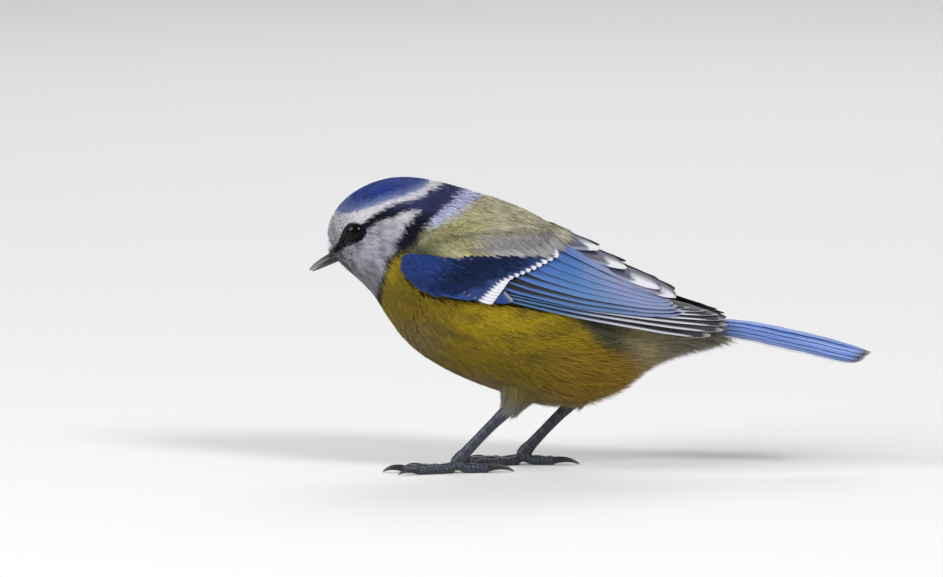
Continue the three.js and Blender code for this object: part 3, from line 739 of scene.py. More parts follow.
def vanePlan(settings, cell):  # across the shaft and off the surface, for each point of a vane's upper face
    s = np.linspace(0, 1, 26) ** 0.9
    a = np.array([-1, -0.86, -0.6, -0.3, -0.08, 0, 0.08, 0.3, 0.6, 0.86, 1])
    outline = np.interp(s, *zip(*settings["outline"]))
    share = np.where(a < 0, settings["outerShare"], 1 - settings["outerShare"])
    offset = outline[:, None] * settings["width"] * (a * share)[None, :]
    raised = settings["shaft"] * np.exp(-((a / 0.1) ** 2)) * (1 - 0.8 * s)[:, None]
    raised = raised - settings["camber"] * settings["width"] * (a**2)[None, :] * outline[:, None]
    hang = settings.get("hang", 0)  # how far the web on one side bends down
    raised = raised - abs(hang) * (np.clip(a * np.sign(hang), 0, 1) ** 1.6)[None, :] * outline[:, None]
    raised = raised + 0.03 * np.sin(s[:, None] * 40 + a[None, :] * 5 + cell * 2.1) * (np.abs(a) > 0.8)
    return s, a, offset, raised - math.tan(math.radians(settings["tilt"])) * offset


cellsAcross = 14  # how many vanes stand side by side in the unwrapping


def vane(shape, top, out, settings, t, cell, flip=1):  # a closed sheet under its upper face
    s, a = vanePlan(settings, cell)[:2]
    thick = settings["thick"] * np.interp(s, [0, 0.8, 1], [1, 0.8, 0.4])[:, None, None]
    sGrid, aGrid = np.meshgrid(s, a, indexing="ij")
    colours = settings["paint"](t, sGrid, flip * aGrid)
    # painted shade: the lower face takes the upper face's colours, darkened to 0.6
    colours = np.concatenate([colours, colours[:, ::-1] * 0.6], 1)
    line, column = divmod(cell, cellsAcross)
    patch = np.stack([column + 0.5 + 0.45 * aGrid, line + 0.05 + 0.9 * sGrid], -1) / cellsAcross
    shape.addSheet(top, top - out * thick, colours, np.concatenate([patch, patch[:, ::-1]], 1))


def barbLines(piece, perUnit):  # how the barbs run, for the finish
    mesh = piece.data
    patch = np.zeros(len(mesh.loops) * 2)
    mesh.uv_layers["OFBake"].data.foreach_get("uv", patch)
    local = np.modf(patch.reshape(-1, 2) * cellsAcross)[0]
    lines = local[:, 1] * perUnit - 9 * np.abs(local[:, 0] - 0.5)
    index = np.zeros(len(mesh.loops), int)
    mesh.loops.foreach_get("vertex_index", index)
    values = np.zeros(len(mesh.vertices))
    values[index] = lines
    mesh.attributes.new("barbs", "FLOAT", "POINT").data.foreach_set("value", values)


longOutline = [(0, 0.45), (0.15, 0.75), (0.42, 1), (0.8, 0.95), (0.92, 0.76), (0.97, 0.5), (1, 0.12)]
roundOutline = [(0, 0.5), (0.3, 0.9), (0.6, 1), (0.85, 0.94), (0.95, 0.66), (1, 0.2)]
bluntOutline = [(0, 0.5), (0.3, 0.9), (0.6, 1), (0.9, 1), (0.97, 0.8), (1, 0.45)]


# Colours of the vanes: t runs along a row, s along the shaft and a across it, from the outer edge.


def paintPrimary(t, s, a):
    tip = soft(s - 0.88 + 0.02 * a, 0.06)
    return painted(
        "edgeBlue", s,
        ("edgeLavender", soft(s - 0.42, 0.3)),
        ("edgeWhite", 0.8 * soft(s - 0.5, 0.3)),
        ("featherDark", soft(a + 0.77 + 0.16 * tip, 0.07)),
        ("featherGrey", 0.35 * tip * soft(a + 0.9, 0.06)),
        ("edgeWhite", soft(s - 0.99, 0.008) * soft(0.4 - a, 0.6) * 0.7),
    )


def paintSecondary(t, s, a):
    return painted(
        "edgeBlue", s,
        ("edgeLavender", soft(s + 0.35 * t - 0.72, 0.5)),
        ("wingBright", 0.5 * soft(0.3 - s, 0.3)),
        ("edgeLavender", 0.5 * soft(-0.93 - a, 0.08)),
        ("featherDark", soft(a + 0.8 - 0.8 * t - 0.05 * s, 0.1) * (1 - 0.9 * soft(t - 0.4, 0.3))),
        ("edgeWhite", soft(s - 0.975, 0.02) * soft(0.3 - a, 0.6) * 0.7),
    )


def paintTertial(t, s, a):
    dark = 0.76 if t > 0.1 else 0.9
    return painted(
        "tertial", s,
        ("tertialPale", soft(a - 0.6, 0.6) * 0.2),
        ("tertialPale", soft(-0.35 - a, 0.7) * 0.9),
        ("edgeBlue", 0.5 * soft(0.3 - s, 0.4) * soft(-a, 0.8)),
        ("edgeLavender", soft(-0.9 - a, 0.1)),
        ("edgeWhite", soft(s - dark + 0.07 * np.abs(a + 0.2), 0.05) * soft(0.3 - a, 0.25)),
    )


def paintGreaterCovert(t, s, a):
    tip = 0.62 + 0.18 * soft(t - 0.5, 0.3) + 0.02 * np.sin(a * 17 + t * 9) + 0.05 * np.abs(a + 0.4)
    return painted("wingDeep", s, ("wingBlue", soft(-0.6 - a, 0.5) * 0.6), ("edgeWhite", soft(s - tip, 0.12)))


def paintPrimaryCovert(t, s, a):
    tip = soft(s - 0.97, 0.025) * 0.7 * soft(0.2 - a, 0.5)
    return painted("wingDeep", s, ("wingBlue", soft(-0.55 - a, 0.4) * 0.9), ("edgeWhite", tip))


def paintSmallCovert(t, s, a):
    edge = soft(np.maximum(np.abs(a), s * 1.02) - 0.86, 0.22)
    return painted("wingDeep", s, ("wingBlue", 0.15 + 0.4 * s * t), ("wingBright", edge * (0.1 + 0.35 * t)))


def primaryTip(t):
    k = 7 * t
    return 27.3 - (0.6 if k < 2.4 else 0.36) * (k - 2.4) ** 2, 27.8 + 0.66 * k


def tertialTip(t):
    return [(17.0, 33.8), (13.8, 35.4), (7.2, 39.2), (1.6, 42.8)][round(3 * t)]


def greaterCovertTip(t):
    places = [0, 0.5, 0.78, 1]
    return np.interp(t, places, [-19.1, -15.7, -10.5, -6.7]), np.interp(t, places, [36.9, 41.0, 42.6, 44.0])


# The rows of one wing, each over the one before. Roots and tips in side view, and how far root and tip lie
# off the bed, are each given for the first and the last feather of the row, or by a function.
vaneCommon = {"thick": 0.13, "shaft": 0.06, "camber": 0.012, "outerShare": 0.5, "outline": roundOutline}
wingRows = [
    {"count": 7, "paint": paintPrimary, "root": [(-24, 38.3), (-20, 40.5)], "tip": primaryTip,
     "lift": [(0.8, 0.7), (0.8, 1.1)], "width": 4.4, "outerShare": 0.3, "tilt": 13, "outline": longOutline},
    {"count": 8, "paint": paintSecondary, "root": [(-19, 39.4), (-8, 45.8)],
     "tip": [(18.8, 32.0), (13.2, 35.4)], "lift": [(1.3, 1.1), (1.3, 1.4)], "width": 5.0,
     "outerShare": 0.42, "tilt": 10, "outline": longOutline},
    {"count": 4, "paint": paintTertial, "root": [(-6.5, 43.4), (-8, 46.6)], "tip": tertialTip,
     "lift": [(1.0, 2.0), (0.1, 2.3)], "width": 7.6, "outerShare": 0.2, "tilt": 4},
    {"count": 18, "paint": paintGreaterCovert, "root": [(-27, 38.8), (-13, 45.8)], "tip": greaterCovertTip,
     "lift": [(1.9, 1.9), (1.9, 1.9)], "width": 3.9, "tilt": 5, "outline": bluntOutline},
    {"count": 7, "paint": paintPrimaryCovert, "root": [(-27, 37.6), (-25, 38.8)],
     "tip": [(-15.6, 36.1), (-17, 37.4)], "lift": [(1.65, 1.75), (1.65, 1.75)], "width": 2.2, "tilt": 10},
    {"count": 9, "paint": paintSmallCovert, "root": [(-31, 40.2), (-17, 45.4)],
     "tip": [(-24, 39.6), (-11, 45.8)], "lift": [(2.0, 2.2), (2.0, 2.2)], "width": 3.4, "tilt": 8},
    {"count": 3, "paint": paintPrimaryCovert, "root": [(-33.5, 38.6), (-32.7, 39.4)],
     "tip": [(-22.8, 36.8), (-25, 37.7)], "lift": [(1.95, 1.95), (1.95, 1.95)], "width": 2.4, "tilt": 9},
    {"count": 9, "paint": paintSmallCovert, "root": [(-34.5, 40.6), (-21.5, 45.2)],
     "tip": [(-28.5, 40.0), (-15.5, 45.4)], "lift": [(1.0, 2.1), (2.0, 2.3)], "width": 3.0, "tilt": 7},
    {"count": 8, "paint": paintSmallCovert, "root": [(-35.6, 41.2), (-25, 45.4)],
     "tip": [(-32.4, 40.6), (-20, 45.4)], "lift": [(0.2, 1.5), (1.8, 2.1)], "width": 2.6, "tilt": 6},
]


def atPlace(ends, t):
    return ends(t) if callable(ends) else lerp(*np.array(ends), t)


def wingVanes():
    shape = Shape()
    cell = 0
    for row in wingRows:
        settings = {**vaneCommon, **row}
        for t in np.linspace(0, 1, row["count"]):
            root, tip, lift = (atPlace(row[key], t) for key in ("root", "tip", "lift"))
            s, a, offset, raised = vanePlan(settings, cell)
            x, z = lerp(root[0], tip[0], s), lerp(root[1], tip[1], s)
            angle = wingAngle(x, z)
            perAngle = np.linalg.norm(onWingBed(x, angle + 0.01) - onWingBed(x, angle - 0.01), axis=-1) / 0.02
            run = np.gradient(x), np.gradient(angle) * perAngle
            length = np.hypot(*run)
            x = x[:, None] - offset * (run[1] / length)[:, None]
            angle = angle[:, None] + offset * (run[0] / length / perAngle)[:, None]
            # the inner webs stop short of the ridge of the back
            angle = np.where(angle > 1.45, 1.45 + 0.08 * np.tanh((angle - 1.45) / 0.08), angle)
            height = lerp(lift[0], lift[1], s)[:, None] + raised
            top = onWingBed(x, angle, height)
            vane(shape, top, unit(onWingBed(x, angle, height + 0.1) - top), settings, t, cell)
            cell += 1
    return shape


arm = {
    "underCoverts": {
        "tone": "wingDeep",
        "xs": [-36.6, -35.4, -33, -27, -20, -12, -5, 1, 6],
        "low": [41.2, 39.4, 37.8, 36.8, 36.4, 35.6, 35.0, 34.8, 34.4],
        "high": [43.8, 45.4, 46.2, 46.6, 46.6, 46.4, 44.4, 41.4, 38.4],
        "lift": [-1.6, -0.8, 0.5, 1.5, 1.3, 0.8, 0.4, 0.2, 0.1],
    },
    "innerWebs": {  # these reach the ridge of the back
        "tone": "tertial",
        "xs": [-7, -2, 3, 8, 12, 15],
        "low": [46.4, 44.4, 42.0, 39.4, 37.4, 36.0],
        "lift": [0.2, 0.3, 0.5, 0.5, 0.4, 0.2],
    },
}


def armPlates(shape):  # what the coverts lie on, and the inner webs that close the back
    rows, columns = 40, 24
    share = np.linspace(0, 1, columns)
    for plate in arm.values():
        x = np.linspace(plate["xs"][0], plate["xs"][-1], rows)
        bottom = wingAngle(x, np.interp(x, plate["xs"], plate["low"]))
        top, edge = np.full(rows, math.radians(88.6)), 1
        if "high" in plate:
            top = wingAngle(x, np.interp(x, plate["xs"], plate["high"]))
            edge = np.clip(np.minimum(share, 1 - share) * 6, 0.25, 1)
        angle = bottom[:, None] + (top - bottom)[:, None] * share
        raised = (np.interp(x, plate["xs"], plate["lift"])[:, None] + 0.8) * edge - 0.8
        raised = np.broadcast_to(raised, angle.shape)
        outer = onWingBed(x[:, None], angle, raised)
        inner = onWingBed(x[:, None], angle, np.minimum(raised - 0.3, 0.1))
        v, u = np.meshgrid(np.linspace(0.86, 0.99, rows), np.linspace(0.01, 0.06, 2 * columns), indexing="ij")
        shape.addSheet(outer, inner, coloured(u.shape, hue[plate["tone"]]), np.stack([u, v], -1))


wingShape = wingVanes()
armPlates(wingShape)
wingLeft = wingShape.piece("wingLeft", flightFinish)
wingRight = wingShape.piece("wingRight", flightFinish, mirror=True)
for wing in (wingLeft, wingRight):
    barbLines(wing, 60)
print("wings are made")


# tufts on the wings: small coverts and the shoulder feathers over their upper edge

shoulder = {"from": 48.9, "to": 45.8, "lift": 2.55, "least": 0.2}


def shoulderAt(x, angle):
    z = onWingBed(x, angle)[..., 2]
    ramp = soft(lerp(shoulder["from"], shoulder["to"], 0.5) - z, shoulder["from"] - shoulder["to"])
    front, rear = soft(-33.6 - x, 7), soft(x + 9, 8)
    lift = shoulder["least"] + shoulder["lift"] * ramp * (1 - 0.4 * rear)
    return onWingBed(x, angle, lift * (1 - front) - 2.4 * front)


def smallCovertAt(x, angle):
    lift = np.interp(x, [-39.4, -38, -36.5, -35, -32, -26, -14], [-2.4, -1.7, -0.4, 0.8, 2.0, 2.5, 2.7])
    return onWingBed(x, angle, lift)


def wingTufts():
    shape = Shape()

    def onShoulder(points, x, angle):
        z = points[..., 2]
        lower = np.interp(x, [-37, -33, -10, -3, 2], [44.6, 45.3, 46.0, 47.0, 48])
        return (z > lower) & (z < 50.5) & (x < -11.5 + 1.2 * (z - 45)) & (x > -36.4 + 0.5 * (z - 44))

    x, angle = scatter(shoulderAt, (-35.6, 1.5), (0.2, 1.5), 4.6, 50000, onShoulder)
    settings = {**common, "length": 4.2, "halfWidth": 0.10, "turn": -0.16, "depth": 0.5}
    ends = shown(shoulderAt, x, angle, 3.4) + (0, 0, 1.5)
    tufts(shape, shoulderAt, x, angle, settings, plumageAt(ends + rng.normal(0, 0.3, ends.shape)))

    def onCoverts(points, x, angle):
        z = points[..., 2]
        low = np.interp(x, [-38.6, -36.5, -33, -27, -12], [42.0, 39.6, 37.8, 37.0, 35.8])
        high = np.interp(x, [-38.6, -36.5, -33, -12], [43.4, 44.5, 44.6, 44.7])
        rear = -29 + 2.2 * (z - 38)
        return (z > low) & (z < high) & (x < rear + rng.normal(0, 1.2, x.shape))

    x, angle = scatter(smallCovertAt, (-38.6, -12), (-0.1, 1.1), 4.4, 60000, onCoverts)
    settings = {**common, "length": 3.0, "halfWidth": 0.085, "turn": -0.1, "depth": 0.45, "untidy": 0.1,
                "rootShade": 0.45}
    tone = rng.uniform(0, 1, len(x)) ** 1.5
    high = smallCovertAt(x, angle)[:, 2]
    deep = soft(x + 28.5 + 0.6 * (43 - high) + rng.normal(0, 1, len(x)), 6)
    colour = painted("wingBlue", x, ("wingBright", tone * soft(high - 40, 6)), ("wingDeep", deep * 0.9))
    tufts(shape, smallCovertAt, x, angle, settings, colour)
    return shape


wingTuftShape = wingTufts()
coatWingLeft = wingTuftShape.piece("coatWingLeft", coatFinish)
coatWingRight = wingTuftShape.piece("coatWingRight", coatFinish, mirror=True)

# tail

tail = {
    "first": 22,
    "last": 57,
    "ridge": [29.9, 30.1, 29.4, 28.2, 26.9, 25.3, 23.6],
    "feathers": 6,
    "droop": 1.7,
    "halfWidth": 5.6,
    "layer": 0.33,
    "width": 5.4,
    "tip": (56.2, -0.42),  # the middle pair's, and how much further in each next one ends
}


def paintTail(outermost, s, a):
    pale = 0.5 + 0.5 * np.sin(a * 5 + outermost * 9 + 1.6 * np.sin(s * 4 + outermost * 5))
    rim = 0.10 + 0.8 * (outermost > 0.95)
    return painted(
        "tailBlue", s,
        ("tailPale", pale * (0.95 - 0.5 * outermost)),
        ("featherDark", soft(a - 0.2, 0.4) * 0.85 * (outermost > 0.05)),
        ("wingDeep", 0.55 * soft(outermost - 0.75, 0.3) * soft(-0.6 - a, 0.6)),
        ("wingDeep", soft(0.12 - s, 0.14) * 0.8),
        ("featherGrey", soft(s - 0.935, 0.05) * 0.9),
        ("edgeWhite", soft(-0.93 - a, 0.06) * rim),
        ("edgeWhite", soft(s - 0.993, 0.008) * 0.7),
    )


def tailVanes():
    shape = Shape()
    cell = 0
    for side in (-1, 1):
        for k in range(tail["feathers"] - 1, -1, -1):
            settings = {**vaneCommon, "width": tail["width"], "tilt": 0, "outline": longOutline,
                        "hang": side * (1.0 + 0.12 * k), "paint": paintTail}
            s, a, offset, raised = vanePlan(settings, cell)
            x = lerp(tail["first"] + 1.5, tail["tip"][0] + tail["tip"][1] * k, s)
            y = side * lerp(0.3 + 0.3 * k, 0.45 + 0.42 * k, s)
            ridge = through(tail["ridge"], (x - tail["first"]) / (tail["last"] - tail["first"]))
            under = (k + 0.25 * math.sin(k * 2.3) + (0.45 if side > 0 else 0)) * tail["layer"]
            z = ridge - tail["droop"] * np.abs(y / tail["halfWidth"]) ** 1.6 - under - 0.1
            centre = np.stack([x, y, z], -1)
            ahead = unit(np.gradient(centre, axis=0))
            across = unit(np.cross([0.0, 0.0, 1.0], ahead))
            out = np.cross(ahead, across)[:, None]
            top = centre[:, None] + across[:, None] * offset[..., None] + out * raised[..., None]
            vane(shape, top, out, settings, k / (tail["feathers"] - 1), cell, -side)
            cell += 1
    return shape


tailPiece = tailVanes().piece("tailFeathers", flightFinish)
barbLines(tailPiece, 90)
print("tail is made")

# bill

bill = {
    "root": (-48.6, 43.6),
    "tip": (-56.3, 40.1),
    "upper": 1.3,
    "lower": 0.85,
    "halfWidth": 1.4,
    "mouthGap": 0.08,
    "nostril": (-51.7, 1.05, 43.1),
    "nostrilSize": 0.35,
}


def billFinish():
    finish = Finish("bill_horn", Specular_IOR_Level=0.5)
    tone = finish.noise(500, 4, (0.4, 1.6, 1))
    place = finish.node("ShaderNodeTexCoord", out=3)
    along = finish.node("ShaderNodeSeparateXYZ", inputs={0: place}) * -1000 - 52.2
    base = finish.mix(tone, (0.010, 0.009, 0.010, 1), (0.042, 0.037, 0.034, 1))
    return finish.feed(
        Base_Color=finish.mix((along * 0.28).atLeast(0.0), base, (0.15, 0.13, 0.115, 1)),
        Roughness=0.28 + tone * 0.3,
        Normal=finish.bump(tone, 0.00006, 0.4),
    )


def mandible(name, up, finish):
    stations, columns = 34, 25
    s = np.linspace(0, 1, stations) ** 0.85
    root, tip = np.array(bill["root"]), np.array(bill["tip"])
    ahead = (tip - root) / np.linalg.norm(tip - root)
    over = np.array([-ahead[1], ahead[0]]) * (-1 if ahead[0] < 0 else 1)
    length = np.linalg.norm(tip - root) * (1 if up > 0 else 0.955)
    height = bill["upper"] if up > 0 else bill["lower"]
    taper = np.sqrt(np.maximum(1 - s**1.7, 0)) * 0.93 + 0.07
    angle = np.linspace(0, math.pi, columns)
    y = bill["halfWidth"] * taper[:, None] * np.cos(angle)
    ridge = 1 + 0.06 * np.exp(-(((angle - math.pi / 2) / 0.25) ** 2))
    rise = up * (bill["mouthGap"] + height * taper[:, None] * np.sin(angle) * ridge) - 0.35 * s[:, None] ** 3
    x = root[0] + ahead[0] * length * s[:, None] + over[0] * rise
    z = root[1] + ahead[1] * length * s[:, None] + over[1] * rise
    points = np.stack([x, y, z], -1)
    if up > 0:
        for side in (-1, 1):
            pit = np.array(bill["nostril"]) * (1, side, 1)
            near = np.exp(-((np.linalg.norm(points - pit, axis=-1) / bill["nostrilSize"]) ** 2))
            points[..., 1] -= side * bill["nostrilSize"] * near
    return meshPiece(name, points.reshape(-1, 3), gridFaces(stations, columns, wrap=True), finish=finish)


billSkin = billFinish()
billPieces = [mandible("billUpper", 1, billSkin), mandible("billLower", -1, billSkin)]

# eyes

eye = {"x": -46.9, "y": 6.35, "z": 48.3, "radius": 2.3, "pupil": 0.9, "lidRadius": 1.78, "lidThick": 0.17}


def eyeFinish():
    finish = Finish("eye_glass", Specular_IOR_Level=0.14)
    place = finish.node("ShaderNodeTexCoord", out=3)

    def along(operation, *values, out=0):
        return finish.node("ShaderNodeVectorMath", {"operation": operation}, dict(enumerate(values)), out)

    offset = along("SUBTRACT", place, (eye["x"] * mm, 0, eye["z"] * mm))
    reach = along("LENGTH", along("MULTIPLY", offset, (1, 0, 1)), out=1)
    iris = ((reach - eye["pupil"] * mm) * 4000).atLeast(0.0)
    return finish.feed(
        Base_Color=finish.mix(iris, (0.001, 0.001, 0.001, 1), (0.004, 0.0022, 0.0015, 1)),
        Roughness=0.03 + iris * 0.03,
    )


def eyePiece(name, side, finish):
    bpy.ops.mesh.primitive_uv_sphere_add(segments=64, ring_count=40, radius=eye["radius"] * mm)
    piece = bpy.context.object
    piece.name = piece.data.name = name
    piece.data.transform(Matrix.Translation(Vector((eye["x"], side * eye["y"], eye["z"])) * mm))
    piece.data.shade_smooth()
    piece.data.materials.append(finish)
    return piece


def lidPiece(name, side, finish):
    around, tube = 90, 14
    a = np.arange(around) / around * 2 * math.pi
    b = np.arange(tube) / tube * 2 * math.pi
    thick = eye["lidThick"] * ((1 + 0.13 * np.abs(np.sin(a * 17))) * (1 + 0.25 * np.sin(a)))[:, None]
    reach = eye["lidRadius"] * (1 + 0.05 * np.cos(2 * a))[:, None] + thick * np.cos(b)
    depth = math.sqrt(eye["radius"] ** 2 - eye["lidRadius"] ** 2) + 0.05
    x = eye["x"] + reach * np.cos(a)[:, None]
    z = eye["z"] + reach * np.sin(a)[:, None]
    y = side * (eye["y"] + depth + thick * np.sin(b))
    points = np.stack(np.broadcast_arrays(x, y, z), -1)
    j = np.arange(tube)
    ring = np.stack([j, (j + 1) % tube], -1)
    closing = np.concatenate([(around - 1) * tube + ring, ring[:, ::-1]], 1)
    faces = np.concatenate([gridFaces(around, tube, wrap=True), closing])
    return meshPiece(name, points.reshape(-1, 3), faces, finish=finish)


def plainFinish(name, dark, light, scale, roughness, distance):
    finish = Finish(name, Specular_IOR_Level=0.12)
    tone = finish.noise(scale, 4)
    return finish.feed(
        Base_Color=finish.mix(tone, (*dark, 1), (*light, 1)),
        Roughness=roughness + tone * 0.2,
        Normal=finish.bump(tone, distance, 0.5),
    )


eyeGlass = eyeFinish()
lidSkin = plainFinish("lid_skin", (0.003, 0.003, 0.005), (0.016, 0.013, 0.014), 1500, 0.5, 0.00003)
eyePieces = [eyePiece("eyeLeft", -1, eyeGlass), eyePiece("eyeRight", 1, eyeGlass)]
lidPieces = [lidPiece("lidLeft", -1, lidSkin), lidPiece("lidRight", 1, lidSkin)]
print("head is made")

# legs

legs = {
    "Left": {"side": -1, "knee": (-12.6, 20.4), "heel": (-15.8, 13.4), "ankle": (-26.4, 2.5)},
    "Right": {"side": 1, "knee": (0.6, 20.4), "heel": (-2.6, 13.4), "ankle": (-13.2, 2.5)},
}
legY = 7.2
tarsusRadius = 1.05
legSides = 28
toes = [  # headings in degrees outwards, the claw's length
    {"name": "inner", "heading": -24, "length": 8.4, "radius": 0.92, "pads": 3, "claw": 3.9},
    {"name": "middle", "heading": -2, "length": 11.2, "radius": 1.0, "pads": 3, "claw": 3.9},
    {"name": "outer", "heading": 20, "length": 8.8, "radius": 0.9, "pads": 4, "claw": 3.9},
    {"name": "hind", "heading": 186, "length": 6.2, "radius": 1.08, "pads": 2, "claw": 4.9},
]


def legPoint(leg, joint):
    return np.array([leg[joint][0], leg["side"] * legY, leg[joint][1]])


def toeAhead(leg, toe):
    heading = math.radians(toe["heading"]) * leg["side"]
    return np.array([-math.cos(heading), math.sin(heading), 0])


def tubeAlong(shape, centre, radius, colour, patchPlace=(0, 0)):  # a radius for each station and side
    rows, sides = radius.shape
    ahead = unit(np.gradient(centre, axis=0))
    across = unit(np.cross([0.0, 0.0, 1.0], ahead))
    over = np.cross(ahead, across)
    angle = np.arange(sides) / sides * 2 * math.pi
    ring = centre[:, None] + across[:, None] * (radius * np.cos(angle))[..., None]
    ring = ring + over[:, None] * (radius * np.sin(angle))[..., None]
    ring[..., 2] = np.maximum(ring[..., 2], 0)
    points = np.concatenate([ring.reshape(-1, 3), centre[[0, -1]]])
    tones = colour(ring, angle)
    colours = np.concatenate([tones.reshape(-1, 3), np.tile(tones[0, 0], (2, 1))])
    u, v = patchPlace[0] + 0.15 * angle / (2 * math.pi), patchPlace[1] + 0.2 * np.linspace(0, 1, rows)[:, None]
    patch = np.stack(np.broadcast_arrays(u, v), -1).reshape(-1, 2)
    shape.add(points, tubeFaces(rows, sides), colours, np.concatenate([patch, [patchPlace, patchPlace]]))


def scutes(along, angle, count, front, height):  # overlapping shields across the front of a shank or toe
    saw = 1 - np.modf(along * count)[0]
    edge = soft(saw - 0.08, 0.16)
    facing = soft(np.cos(angle - front) - 0.15, 0.7)
    fine = 0.25 * np.abs(np.sin(along * count * 2.4 * math.pi)[:, None] * np.sin(angle * 5)) * (1 - facing)
    return 1 + height * (edge * (0.4 + 0.6 * saw))[:, None] * facing + height * fine


def legColour(along, count):
    def colour(ring, angle):
        saw = 1 - np.modf(along * count)[0]
        lit = soft(saw - 0.7, 0.6)[:, None] * soft(np.sin(angle) + 0.2, 1.4)
        tone = blended(coloured(ring.shape[:2], (0.026, 0.031, 0.050)), (0.10, 0.118, 0.165), lit * 0.55)
        tone = blended(tone, (0.060, 0.064, 0.078), 0.5 * soft(-0.3 - np.sin(angle), 0.8)[None, :])
        return blended(tone, (0.014, 0.015, 0.022), soft(0.09 - saw, 0.1)[:, None] * 0.6)

    return colour


def legPiece(name, leg, finish):
    shape = Shape()
    heel, ankle = legPoint(leg, "heel"), legPoint(leg, "ankle")
    s = np.linspace(-0.12, 1.1, 170)
    centre = heel + (ankle - heel) * s[:, None]
    centre[:, 0] -= 0.25 * np.sin(np.clip(s, 0, 1) * math.pi)
    size = np.interp(s, [-0.12, 0, 0.1, 0.3, 0.6, 0.84, 0.96, 1.02, 1.06, 1.1],
                     [1.05, 1.18, 1.12, 0.93, 0.88, 0.95, 1.16, 1.14, 0.98, 0.55])
    angle = np.arange(legSides) / legSides * 2 * math.pi
    radius = tarsusRadius * size[:, None] * scutes(s + 0.12, angle, 7, math.pi / 2, 0.06)
    radius = radius * (1 + 0.10 * np.sin(angle) ** 2)
    tubeAlong(shape, centre, radius, legColour(s + 0.12, 7))
    for n, toe in enumerate(toes):
        s = np.linspace(-0.12, 1, 110)
        centre = ankle + toeAhead(leg, toe) * toe["length"] * s[:, None]
        centre[:, 2] = lerp(leg["ankle"][1] - 0.85, toe["radius"] * 0.78, soft(s - 0.14, 0.36))
        swell = 1 + 0.10 * np.cos((s + 0.06) * toe["pads"] * 2 * math.pi)
        swell = swell * np.interp(s, [-0.12, 0.1, 1], [1.1, 1.05, 0.93]) * (1 - 0.26 * soft(s - 0.92, 0.14))
        swell = swell * np.sqrt(np.clip(1 - (np.maximum(s - 0.955, 0) / 0.046) ** 2, 0.06, 1))
        swell = swell * np.sqrt(np.clip(1 - (np.maximum(-0.04 - s, 0) / 0.082) ** 2, 0.1, 1))
        shields = round(toe["length"] * 1.15)
        radius = toe["radius"] * 0.92 * swell[:, None] * scutes(s, angle, shields, math.pi / 2, 0.10)
        tubeAlong(shape, centre, radius, legColour(s, shields), (0.2 + 0.18 * n, 0.1))
    return shape.piece(name, finish)


def clawsPiece(name, leg, finish):
    shape = Shape()
    s = np.linspace(0, 1, 40)
    angle = np.arange(20) / 20 * 2 * math.pi
    size = 0.60 * np.interp(s, [0, 0.1, 0.5, 0.85, 1], [0.85, 1, 0.66, 0.28, 0.06])
    radius = size[:, None] * (1 + 0.2 * np.abs(np.sin(angle)))
    arch = np.sin(np.minimum(s * 1.9, 1.9) * 1.1) * (1 - s)

    def colour(ring, angle):
        dark = coloured(ring.shape[:2], (0.02, 0.02, 0.026))
        return blended(dark, (0.12, 0.11, 0.11), soft(s - 0.7, 0.7)[:, None])

    for n, toe in enumerate(toes):
        ahead, high = toeAhead(leg, toe), toe["radius"] * 0.78
        length = toe["length"] - 0.5 + (toe["claw"] + 0.6) * np.sin(s * 1.25) / math.sin(1.25)
        centre = legPoint(leg, "ankle") + ahead * length[:, None]
        centre[:, 2] = lerp(high, 0.14, s**1.5) + arch
        tubeAlong(shape, centre, radius, colour, (0.2 * n, 0.5))
    return shape.piece(name, finish)


def legFinish(name, roughness):
    finish = Finish(name, Specular_IOR_Level=0.45)
    colour = finish.stored("plumage")
    tone = finish.noise(1400, 4)
    return finish.feed(
        Base_Color=finish.mix(tone * 0.8, colour, finish.mix(1.0, colour, grey(0.45), "MULTIPLY")),
        Roughness=roughness + tone * 0.25,
        Normal=finish.bump(tone, 0.00005, 0.6),
    )


legSkin = legFinish("leg_slate", 0.38)
clawHorn = legFinish("claw_horn", 0.22)
legPieces = {side: legPiece("leg" + side, leg, legSkin) for side, leg in legs.items()}
clawPieces = {side: clawsPiece("claws" + side, leg, clawHorn) for side, leg in legs.items()}

# thighs


thighRadii = ([0, 0.3, 0.55, 0.8, 1, 1.3], [4.6, 4.4, 3.7, 2.7, 1.8, 1.2])  # from the knee to the heel


def thighAt(leg):
    def surface(t, angle):
        knee, heel = legPoint(leg, "knee"), legPoint(leg, "heel")
        ahead = (heel - knee) / np.linalg.norm(heel - knee)
        across = np.array([0.0, 1.0, 0.0])
        over = np.cross(ahead, across)
        radius = np.interp(t, *thighRadii)
        ring = across * np.cos(angle)[..., None] + over * np.sin(angle)[..., None]
        return knee + (heel - knee) * np.asarray(t)[..., None] + ring * radius[..., None]

    return surface


def thighCoat(name, leg, start):
    surface = thighAt(leg)

    def below(points, t, angle):
        return points[..., 2] < 19.5

    t, angle = scatter(surface, (0.02, 0.9), (0, 2 * math.pi), 7.0, start, below)
    settings = {**common, "length": 3.7, "barbs": 6, "halfWidth": 0.07, "loose": 0.8, "untidy": 0.25,
                "depth": 0.7, "vary": 0.2}
    chance = rng.uniform(0, 1, len(t))
    worn = soft(t + 0.5 * chance - 0.75, 0.7)
    colour = painted("thigh", t, ("thighGrey", worn), ("flankGrey", 0.6 * soft(chance - 0.8, 0.2)))
    shape = Shape()
    tufts(shape, surface, t, angle, settings, colour)
    rows, columns = 20, 32
    around = np.arange(columns) / columns * 2 * math.pi
    tGrid, aGrid = np.meshgrid(np.linspace(0, 1.05, rows), around, indexing="ij")
    axis = surface(tGrid, aGrid).mean(1, keepdims=True)
    core = axis + (surface(tGrid, aGrid) - axis) * 0.82
    shape.add(core, gridFaces(rows, columns, wrap=True), coloured(core.shape[:2], (0.1, 0.085, 0.04)),
              np.stack([aGrid / 7, tGrid / 1.1], -1))
    return shape.piece(name, coatFinish)


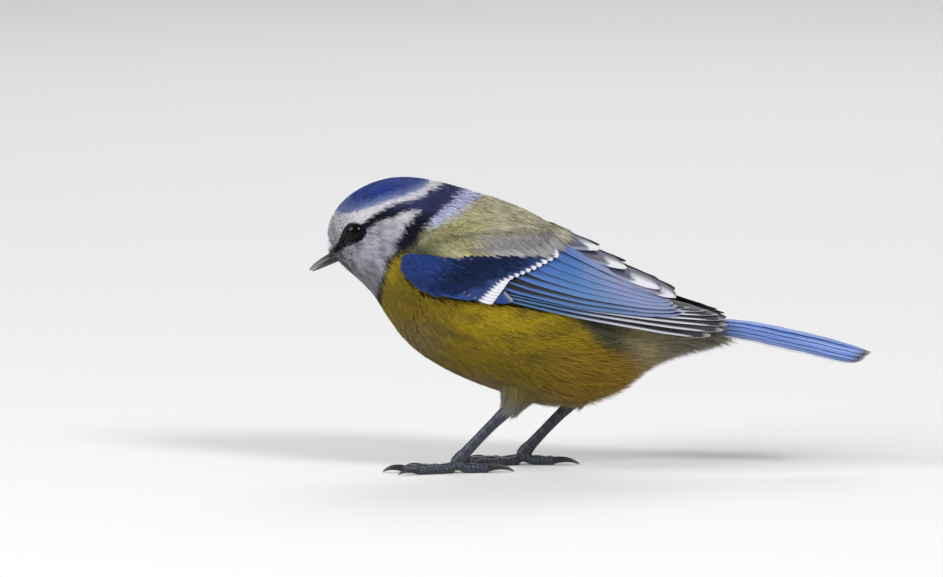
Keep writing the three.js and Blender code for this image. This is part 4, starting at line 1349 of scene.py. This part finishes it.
thighPieces = {side: thighCoat("thigh" + side, leg, 70000) for side, leg in legs.items()}
print("legs are made")

# how the pieces ride, and the imported solids they cover are hidden

for piece in [
    *coatPieces.values(), skinPiece, wingLeft, wingRight, coatWingLeft, coatWingRight, tailPiece, *billPieces,
    *eyePieces, *lidPieces, *legPieces.values(), *clawPieces.values(), *thighPieces.values(),
]:
    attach(piece, "root")
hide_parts("head", "neck", "torso")
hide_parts("tail")
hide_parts("bill_upper")
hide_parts("bill_lower")
for side, wing, ball in (("Left", wingLeft, eyePieces[0]), ("Right", wingRight, eyePieces[1])):
    low = side.lower()
    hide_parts("wing_" + low)
    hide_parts("eye_" + low)
    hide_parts("thigh_" + low)
    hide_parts("tarsus_" + low, "foot_" + low)
    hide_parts(*("claw_" + low + "_" + toe["name"] for toe in toes))

# floor, light and camera

studio = {
    "floor": (0.80, 0.80, 0.80),
    "cameraDistance": 2.5,
    "elevation": 6,
    "aim": (-0.0238, 0.0, 0.0363),
    "widthSeen": 0.1886,
    "lights": [  # place, size, watts
        ((0.75, -0.95, 1.00), 0.42, 13),
        ((-1.00, -0.60, 0.75), 0.8, 14),
        ((0.1, 1.0, 0.9), 0.7, 5),
    ],
    "world": 0.30,
}


def makeStudio():
    scene = bpy.context.scene
    corners = [(-4000, -4000, 0), (4000, -4000, 0), (4000, 8000, 0), (-4000, 8000, 0)]
    floor = meshPiece("floor", corners, [(0, 1, 2, 3)])
    finish = Finish("floor_paint", Roughness=0.8)
    finish.shader.inputs["Base Color"].default_value = (*studio["floor"], 1)
    floor.data.materials.append(finish.material)
    world = bpy.data.worlds.new("studio")
    world.use_nodes = True
    world.node_tree.nodes["Background"].inputs[0].default_value = (1, 1, 1, 1)
    world.node_tree.nodes["Background"].inputs[1].default_value = studio["world"]
    scene.world = world
    for n, (place, size, watts) in enumerate(studio["lights"]):
        light = bpy.data.lights.new("softbox%d" % n, "AREA")
        light.size, light.energy = size, watts
        lamp = bpy.data.objects.new(light.name, light)
        lamp.location = place
        lamp.rotation_euler = aimed(place, studio["aim"])
        scene.collection.objects.link(lamp)
    camera = bpy.data.cameras.new("camera")
    camera.lens = camera.sensor_width * studio["cameraDistance"] / studio["widthSeen"]
    camera.clip_end = 100
    seen = bpy.data.objects.new("camera", camera)
    rise = math.radians(studio["elevation"])
    x, y, z = studio["aim"]
    away = studio["cameraDistance"]
    seen.location = (x, y - away * math.cos(rise), z + away * math.sin(rise))
    seen.rotation_euler = aimed(seen.location, studio["aim"])
    scene.collection.objects.link(seen)
    scene.camera = seen
    scene.view_settings.view_transform = "Standard"


def aimed(place, target):
    return (Vector(target) - Vector(place)).to_track_quat("-Z", "Y").to_euler()


makeStudio()
